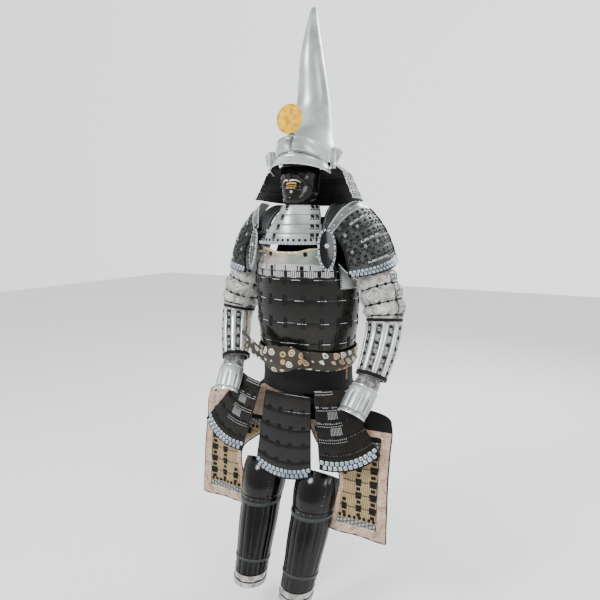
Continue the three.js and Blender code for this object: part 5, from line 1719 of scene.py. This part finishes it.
def sleeves():
    full = (0, TURN)
    for side, sign in SIDES:
        curve = Curve((*UPPER_ARM, *FOREARM[side]), sign)
        upper = Piece(f"sleeve_upper_dress_{side}", "sleeve_cloth", f"sleeve_upper_{side}")
        form = limb_form(curve, ARM_GIRTH, sign, full, (0, ELBOW - 0.001))
        mail_strip = lambda u, v: ((u > 0.17) & (u < 0.30)) | ((u > 0.62) & (u < 0.70))
        zones = (("silver_brocade", "mail"), mail_strip)
        upper.shell(form, 100, shares(96), zones, "lining", 2.2, True, gathers(0, ELBOW))
        made = upper.build()
        upper = Piece(f"sleeve_upper_trim_{side}", "sleeve_cloth")
        around = np.linspace(0, 1, 100, endpoint=False)
        for tie in TIES:
            v = tie / ELBOW
            upper.edge(form, around, v, 1.5, "black_silk", lift=0.4, closed=True)
        v = np.linspace(0.02, 0.98, 80)
        for seams, silk in (((0.17, 0.30, 0.62, 0.70), "black_silk"), ((0.92,), "pale_lace")):
            upper.rims(form, seams, v, 1.1, silk, lift=0.9, guide=Y_AXIS)
        v = np.linspace(0.30, 0.985, 90)
        upper.strap(form, 0.855, v, 15, 1.6, "pale_lace", lift=0.9)
        v = np.linspace(0.05, 0.9, 24)
        for seam in (0.20, 0.235, 0.27):
            upper.pads(form.at(seam, v + 0.01 * seam, 0.8), (6, 5, 1.6), "bright")
        trim = upper.build()
        form.flat(GATHER)

        lower = Piece(f"sleeve_lower_dress_{side}", "sleeve_cloth", f"sleeve_lower_{side}")
        form = limb_form(curve, ARM_GIRTH, sign, full, (ELBOW + 0.001, 1))
        mailed = lambda u, v: (v > 0.09) & ((u < 0.55) | (u > 0.79))
        zones = (("silver_brocade", "mail"), mailed)

        def crumple(u, v):
            folds = 1.2 * wave(6 * u + 3 * v) * np.exp(-v / 0.12)
            return folds + 0.5 * np.sin(20 * v + 7 * u)

        lower.shell(form, 80, shares(52), zones, "lining", 2.2, True, crumple)
        made = lower.build()
        lower = Piece(f"sleeve_lower_trim_{side}", "sleeve_cloth")
        lower.strap(form, around, 0.01, 10, 2.0, "black_silk", lift=1.2, closed=True)
        lower.strap(form, around, 0.965, 12, 2.2, "black_silk", lift=4.2, closed=True)
        trim = lower.build()
        form.flat()
        splints(side, sign, curve)
        hand_guard(side, sign)


def splints(side, sign, curve):
    """Silvered splints down the forearm, joined by dark links over mail."""
    piece = Piece(f"splints_dress_{side}", "silver", f"forearm_splints_{side}")
    form = limb_form(curve, ARM_GIRTH, sign, (math.radians(-75), math.radians(200)), (0.65, 0.985), 3.4)
    v = shares(40)
    half = [(-1, -2.2), (-1, 0.6), (-0.86, 1.9), (-0.5, 2.7), (0, 3.0)]
    section = np.array(half + [(-x, high) for x, high in half[-2::-1]])
    ends = np.clip(np.minimum(v, 1 - v) / 0.05, 0, 1) ** 0.5
    taper = (0.55 + 0.45 * ends) * lerp(1.0, 0.86, v)
    for index in range(7):
        middle, across, _, out = form.at((index + 0.5) / 7, v, 0.4)
        shape = section[None] * np.stack([8.6 * taper, 0.6 + 0.4 * ends], -1)[:, None]
        piece.sweep(middle, across, out, shape, "bright")
        tips = form.at((index + 0.5) / 7, np.array([0.045, 0.955]), 3.0)
        piece.domes(tips, (3.4, 3.4, 1.4), "lacquer")
    for index in range(8):
        u = index / 7 * 0.998 + 0.001
        if index in (0, 7):
            piece.edge(form, u, v, 2.0, "cream_rim", guide=Y_AXIS)
            continue
        links = np.linspace(0.10, 0.90, 5)
        piece.pads(form.at(u, links, 0.2), (9, 9, 2.0), "black_silk")
        between = (links[1:] + links[:-1]) / 2
        for shift in (-0.035, 0.035):
            piece.domes(form.at(u, between + shift, 0.0), (6.4, 6.4, 2.2), "pale_lace")
    piece.build()


HAND_PATH = {
    "left": ((272, -91, 842), (268, -106, 824), (243, -178, 736)),
    "right": ((244.6, -91, 844), (242, -108, 825), (229, -178, 738)),
}
HAND_GIRTH = Table("at wide deep", [(0, 35, 26), (0.5, 41, 30), (0.75, 46, 36), (1, 44, 32)])


def hand_guard(side, sign):
    """A mail cuff that starts inside the sleeve, and a ridged plate over the back of the hand."""
    piece = Piece(f"hand_guard_dress_{side}", "silver", f"hand_guard_{side}")
    sweep = math.radians(98)
    form = limb_form(Curve(HAND_PATH[side], sign), HAND_GIRTH, sign, (-sweep, sweep), (0, 1))
    plate = 0.62  # where the mail ends and the plate starts

    def fingers(u, v):
        on = np.clip((v - 0.70) / 0.06, 0, 1) * np.clip((0.95 - v) / 0.02, 0, 1)
        ridges = np.abs(np.sin(math.pi * 5 * u)) ** 0.7
        back = 3.4 * np.exp(-(((u - 0.5) / 0.3) ** 2) - ((v - 0.68) / 0.06) ** 2)
        band = 1.6 * np.clip((v - 0.948) / 0.008, 0, 1)
        return on * (3.4 * ridges - 1.4) + back + band - 1.0 * (v < plate)

    # Dark cap silver in the valleys between the finger ridges: painted shade in the grooves.
    painted_groove_shade = lambda u, v: (np.abs(np.sin(math.pi * 5 * u)) < 0.25) & (v > 0.74) & (v < 0.94)
    zones = (
        ("silver", "mail", "cap_silver"),
        lambda u, v: np.where(v < plate, 1, np.where(painted_groove_shade(u, v), 2, 0)),
    )
    piece.shell(form, 80, shares(76), zones, "lining", 2.2, relief=fingers, edge="silver")
    u = np.linspace(0.004, 0.996, 60)
    piece.edge(form, u, plate, 1.7, "bright", lift=0.4)
    piece.edge(form, u, 0.996, 1.9, "bright", lift=1.2)
    # A dark cord at the step of the end band: a painted shade line.
    piece.edge(form, u, 0.95, 1.1, "painted_groove_shade", lift=1.0)
    piece.rims(form, (0.004, 0.996), np.linspace(plate, 0.99, 30), 1.7, "bright", guide=Y_AXIS)
    piece.domes(form.at(np.array([0.5]), 0.973, 1.4), (6, 6, 2), "black_silk")
    piece.domes(form.at(np.array([0.16, 0.84]), 0.68, 0.4), (6.4, 6.4, 2.4), "bright")
    piece.build()


# ---------------------------------------------------------------- thigh guards

THIGH_GUARD = Table("height inner outer y", [
    (846, 24, 88, -74), (800, 28, 96, -82), (766, 34, 106, -86), (742, 40, 190, -104),
    (728, 48, 318, -116), (700, 60, 351, -124), (610, 100, 353, -134), (530, 186, 354, -146),
    (420, 182, 356, -152), (326, 164, 358, -157),
])  # fmt: skip
THIGH_HIGH, THIGH_LOW = 846, 326
PANEL_HIGH, PANEL_LOW = 640, 360  # between the black band and the lower border
BORDER = 32
COLUMN = 48  # between the lacing columns of the splinted panel


def thigh_form(sign):
    def surface(u, v):
        u, v = np.broadcast_arrays(np.asarray(u, float), np.asarray(v, float))
        z = lerp(THIGH_HIGH, THIGH_LOW, v)
        row = THIGH_GUARD(z)
        wave = 3 * np.sin(u * 9 + v * 3) * v
        wrap = 16 * np.maximum(u, 0) ** 3 * (1 - v)
        return point(lerp(row.inner, row.outer, u) * sign, row.y + wave + wrap, z)

    return Form(surface, fixed(point(0, 400, THIGH_LOW)))


def thigh_place(x, height):
    """The (u, v) of a place by its distance in from the outer edge and its height."""
    row = THIGH_GUARD(height)
    u = 1 - np.asarray(x, float) / (row.outer - row.inner)
    return u, (THIGH_HIGH - np.asarray(height, float)) / (THIGH_HIGH - THIGH_LOW) + 0 * u


# the first is the height above which the wearer's left guard is coloured black silk as painted shade; the
# others are where the cloths of the thigh guard meet, above and below its splints
PAINTED_SHADE_LOW, BROCADE_LOW, LOOPS_LOW, LOOPS_HIGH = 676, 655, 622, 378


def thigh_guards():
    names = ("brocade", "black_silk", "grey_loops", "splint_cloth")

    def zones(u, v):
        height = lerp(THIGH_HIGH, THIGH_LOW, v)
        row = THIGH_GUARD(height)
        outer, inner = (1 - u) * (row.outer - row.inner), u * (row.outer - row.inner)
        zone = np.where(height > BROCADE_LOW, 0, np.where(height > PANEL_HIGH, 1, 3))
        zone = np.where((height <= PANEL_HIGH) & (height > LOOPS_LOW), 2, zone)
        zone = np.where((height < LOOPS_HIGH) & (height > PANEL_LOW), 2, zone)
        border = (outer < BORDER) | (inner < 14) | (height < PANEL_LOW)
        return np.where(border, 0, zone)

    # Painted shade: on the wearer's left guard only, its top is coloured black silk.
    def painted_shade_top(u, v):
        return np.where(lerp(THIGH_HIGH, THIGH_LOW, v) > PAINTED_SHADE_LOW, 1, zones(u, v))

    for side, sign in SIDES:
        piece = Piece(f"thigh_dress_{side}", "brocade", f"thigh_guard_{side}")
        form = thigh_form(sign)
        soft = lambda u, v: 0.9 * np.sin(14 * v + 5 * u) * (v < 0.38) + 0.6 * np.sin(31 * u + 9 * v)
        zoned = painted_shade_top if side == "left" else zones
        rows = shares(130)
        piece.shell(form, 76, rows, (names, zoned), "lining", 3.6, relief=soft, edge="brocade")
        made = piece.build()
        piece = Piece(f"thigh_lacing_{side}", "black_lace")
        u, v = shares(70), np.linspace(0.33, 1, 120)
        piece.edge(form, 1.0, v, 2.4, "black_silk", lift=-1.4, guide=Y_AXIS)
        piece.edge(form, 0.0, shares(160), 2.2, "black_silk", lift=-1.4, guide=Y_AXIS)
        piece.edge(form, u, 1.0, 2.4, "black_silk", lift=-1.4)
        piece.edge(form, u, 0.0, 2.2, "black_silk", lift=-1.4)
        shoulder = np.linspace(0.16, 0.33, 40)
        piece.edge(form, 1.0, shoulder, 2.2, "black_silk", lift=-1.4, guide=Y_AXIS)
        inner_line = np.linspace(654, PANEL_LOW, 70)
        piece.edge(form, *thigh_place(BORDER, inner_line), 0.9, "black_silk", lift=0.6, guide=Y_AXIS)
        lacing_columns(piece, form)
        piece_rows(piece, form)
        trim = piece.build()
        wide = max(form.width(v) for v in (0.3, 0.6, 0.9))
        tall = form.height(1.0)
        flat, area = (wide * MM, tall * MM), form.area() * MM * MM


def lacing_columns(piece, form):
    """Black lacing marks, wide and narrow in turn, and thin lines across the splints."""
    for column in range(5):
        x = BORDER + 14 + column * COLUMN
        height, wide = PANEL_HIGH - 34, True
        while height > 392:
            tall = 22 if wide else 11
            here = height - tall / 2
            u, v = thigh_place(x, here)
            row = THIGH_GUARD(here)
            if u * (row.outer - row.inner) > 24:
                size = (24 if column == 0 else 19, 14.5 if column == 0 else 12)[0 if wide else 1]
                for part, share in ((-0.26, 0.9), (0.26, 1.0)) if wide else ((0, 1.0),):
                    u, v = thigh_place(x, here + part * tall)
                    piece.studs(
                        form.at(np.array([u]), v, 0.6), BAR, PAD,
                        (size * share, tall * (0.46 if wide else 0.9), 2.0), "black_silk",
                    )
            height -= tall + 5.5
            wide = not wide
    for line in range(5):
        height = 596 - line * 44
        row = THIGH_GUARD(height)
        x = np.linspace(BORDER, row.outer - row.inner - 15, 60)
        piece.edge(form, *thigh_place(x, height), 0.9, "black_silk", lift=0.9)


def piece_rows(piece, form):
    """The rows of small black squares at both ends of the splinted panel."""
    for height in (614, 386):
        row = THIGH_GUARD(height)
        x = np.arange(BORDER + 9, row.outer - row.inner - 18, 16.5)
        piece.pads(form.at(*thigh_place(x, height), 0.6), (9.5, 9.5, 2.0), "black_silk")


# ---------------------------------------------------------------- shin guards

LEG_GIRTH = Table("height wide deep", [
    (516, 66, 60), (480, 77, 74), (430, 78, 76), (372, 70, 66), (300, 67, 62), (220, 60, 57),
    (152, 55, 53), (118, 55, 53),
])  # fmt: skip
KNEE_TOP, KNEE_ARCH, KNEE_LOW, SHIN_LOW, ANKLE_LOW = 516, 46, 368, 152, 118
LEG_HEIGHT, LEG_X, LEG_Y = 440, 104, -132  # a place on the leg's middle line
LEG_SPLAY, LEG_LEAN = 0.045, 0.385  # outwards and forwards for each unit of height


def leg_middle(height, sign):
    rise = height - LEG_HEIGHT
    return point((LEG_X + LEG_SPLAY * rise) * sign, LEG_Y + LEG_LEAN * rise, height)


def leg(angle, height, sign):
    rise = height - LEG_HEIGHT
    row = LEG_GIRTH(height)
    x = LEG_X + LEG_SPLAY * rise + row.wide * np.sin(angle)
    return point(x * sign, LEG_Y + LEG_LEAN * rise - row.deep * np.cos(angle), height)


def leg_form(sweep, top, bottom, sign):
    """A wall round the leg; top may depend on the angle."""

    def surface(u, v):
        angle = lerp(-sweep, sweep, np.asarray(u, float))
        high = top(angle) if callable(top) else top
        return leg(angle, lerp(high, bottom, v), sign)

    return Form(surface, lambda u, v: leg_middle(surface(u, v)[..., 2], sign))


def knee_guards():
    sweep = math.radians(104)
    arch = lambda angle: KNEE_TOP - KNEE_ARCH * (angle / sweep) ** 2
    for side, sign in SIDES:
        piece = Piece(f"knee_dress_{side}", "lacquer", f"knee_guard_{side}")
        form = leg_form(sweep, arch, KNEE_LOW + SEAM, sign)

        def shape(u, v):
            cup = 2.4 * np.exp(-(((u - 0.5) / 0.17) ** 4) - ((v - 0.38) / 0.34) ** 4)
            wings = -1.6 * (bell(u, 0.27, 0.012) + bell(u, 0.73, 0.012)) * (v < 0.86)
            return cup + wings - 1.6 * bell(v, 0.80, 0.016)

        piece.shell(form, 84, shares(52), "lacquer", "lining", relief=shape)
        u = np.linspace(0.003, 0.997, 80)
        piece.edge(form, u, 0.004, 2.3, "lacquer")
        piece.rims(form, (0.004, 0.996), shares(30), 1.8, "lacquer", guide=Y_AXIS)
        rivets_u = np.array([0.30, 0.30, 0.30, 0.70, 0.70, 0.70, 0.41, 0.5, 0.59])
        rivets_v = np.array([0.22, 0.42, 0.62, 0.22, 0.42, 0.62, 0.86, 0.87, 0.86])
        piece.domes(form.at(rivets_u, rivets_v, 0.0), (4.0, 4.0, 2.0), "cap_silver")
        strap_v = 0.975 - 0.045 * (2 * u - 1) ** 2
        piece.strap(form, u, strap_v, 10, 1.8, "blue_strap", lift=0.8)
        piece.build()


def shin_guards():
    sweep = math.radians(128)
    count = 9
    for side, sign in SIDES:
        piece = Piece(f"shin_dress_{side}", "lacquer", f"shin_guard_{side}")
        form = leg_form(sweep, KNEE_LOW, SHIN_LOW + 2 * SEAM, sign)
        ribs = lambda u, v: 2.2 * np.abs(np.sin(math.pi * count * u)) ** 0.45 - 1.0
        piece.shell(form, count * 14, shares(20), "lacquer", "lining", relief=ribs)
        u = np.linspace(0.003, 0.997, 100)
        piece.edge(form, u, 0.996, 1.8, "lacquer", lift=0.4)
        piece.strap(form, u, 0.80 + 0.02 * np.cos(TURN * u), 8, 1.6, "blue_strap", lift=1.4)
        rivets = (np.arange(count) + 0.5) / count
        for v in (0.16, 0.70, 0.93):
            piece.domes(form.at(rivets, v, 1.0), (3.8, 3.8, 1.6), "lacquer")
        piece.rims(form, (0.004, 0.996), shares(40), 1.8, "lacquer", guide=Y_AXIS)
        piece.build()


def ankle_cuffs():
    for side, sign in SIDES:
        piece = Piece(f"cuff_dress_{side}", "sleeve_cloth", f"ankle_cuff_{side}")
        form = Form(
            lambda u, v: leg(u * TURN, lerp(SHIN_LOW, ANKLE_LOW, v), sign),
            lambda u, v: leg_middle((SHIN_LOW + ANKLE_LOW) / 2 + 0 * np.asarray(u, float), sign),
        )

        def soft(u, v):
            folds = 1.2 * wave(9 * u + 0.6 * v) * (0.3 + v)
            return folds + 0.7 * np.sin(TURN * 23 * u)

        piece.shell(form, 110, even(12), "silver_brocade", "lining", 2.2, True, soft)
        around = np.linspace(0, 1, 90, endpoint=False)
        made = piece.build()
        piece = Piece(f"cuff_trim_{side}", "sleeve_cloth")
        piece.edge(form, around, 0.55, 2.1, "black_silk", lift=0.4, closed=True)
        piece.edge(form, around, 0.985, 1.6, "white_silk", lift=-0.4, closed=True)
        form.flat()
        piece.build()


# ---------------------------------------------------------------- camera, light and floor


CAMERA_PLACE = (0.8366, -1.5734, -0.0124)
CAMERA_DOWN, CAMERA_TURN = math.radians(10.2), math.radians(28)
CAMERA_LENS, CAMERA_FILM = 31.2, 36
CAMERA_SHIFT = (-8 / 600, 16 / 600)


def camera():
    """The main view: from the front, on the wearer's left, a little above the chest."""
    data = bpy.data.cameras.new("camera")
    data.lens, data.sensor_width = CAMERA_LENS, CAMERA_FILM
    data.shift_x, data.shift_y = CAMERA_SHIFT
    made = placed("camera", data)
    made.location = CAMERA_PLACE
    made.rotation_euler = (math.pi / 2 - CAMERA_DOWN, 0, CAMERA_TURN)
    bpy.context.scene.camera = made


def light(name, place, target, size, power):
    """A round lamp that faces its target."""
    data = bpy.data.lights.new(name, "AREA")
    data.shape, data.size, data.energy = "DISK", size, power
    made = placed(name, data)
    made.location = place
    x, y, z = np.array(target) - np.array(place)
    made.rotation_euler = (math.atan2(math.hypot(x, y), -z), 0, math.atan2(y, x) - math.pi / 2)


FLOOR_HALF = 9.0


def studio():
    """A world brighter behind than in front, three lamps and a pale floor."""
    world = bpy.data.worlds.new("studio")
    world.use_nodes = True
    tree = world.node_tree
    place = tree.nodes.new("ShaderNodeTexCoord")
    apart = tree.nodes.new("ShaderNodeSeparateXYZ")
    spread = tree.nodes.new("ShaderNodeMapRange")
    tree.links.new(place.outputs["Generated"], apart.inputs[0])
    tree.links.new(apart.outputs["Y"], spread.inputs["Value"])
    tree.links.new(spread.outputs["Result"], tree.nodes["Background"].inputs["Strength"])
    for socket, value in zip(("From Min", "From Max", "To Min", "To Max"), (-1, 1, 0.6, 2.0)):
        spread.inputs[socket].default_value = value
    tree.nodes["Background"].inputs["Color"].default_value = (0.95, 0.97, 0.98, 1)
    bpy.context.scene.world = world
    light("key", (-1.5, -2.9, 1.9), (0, 0, -0.2), 1.1, 110)
    light("fill", (2.9, -1.5, 0.9), (0, 0, -0.3), 1.4, 40)
    light("back", (0.6, 2.8, 1.8), (0, 0, 0), 1.4, 110)
    mesh = bpy.data.meshes.new("floor")
    low = -SHOULDER_HEIGHT * MM
    corners = [(x * FLOOR_HALF, y * FLOOR_HALF, low) for x, y in ((-1, -1), (1, -1), (1, 1), (-1, 1))]
    mesh.from_pydata(corners, [], [(0, 1, 2, 3)])
    s = Shader(Roughness=0.9)
    s.finish(s.mix(s.noise(0.5, 2), (0.90, 0.90, 0.90), (0.92, 0.92, 0.92))).name = "floor"
    mesh.materials.append(s.material)
    placed("floor", mesh)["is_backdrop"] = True


camera()
studio()
for make in (
    helmet_crown, helmet_visor, helmet_turnbacks, crest, neck_guard, mask, throat_guard,
    cuirass_lames, chest_laced_lame, chest_plate, back_plate, side_plates, shoulder_straps, pendants,
    waist_lacing, skirt_plates, sash_band, sash_knot, sash_tail, sash_tassel, shoulder_guards,
    sleeves, thigh_guards, knee_guards, shin_guards, ankle_cuffs,
):
    make()

plain = lambda box: [list(corner) for corner in box]
{"cad": plain(cad_box), "visual": plain(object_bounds())}
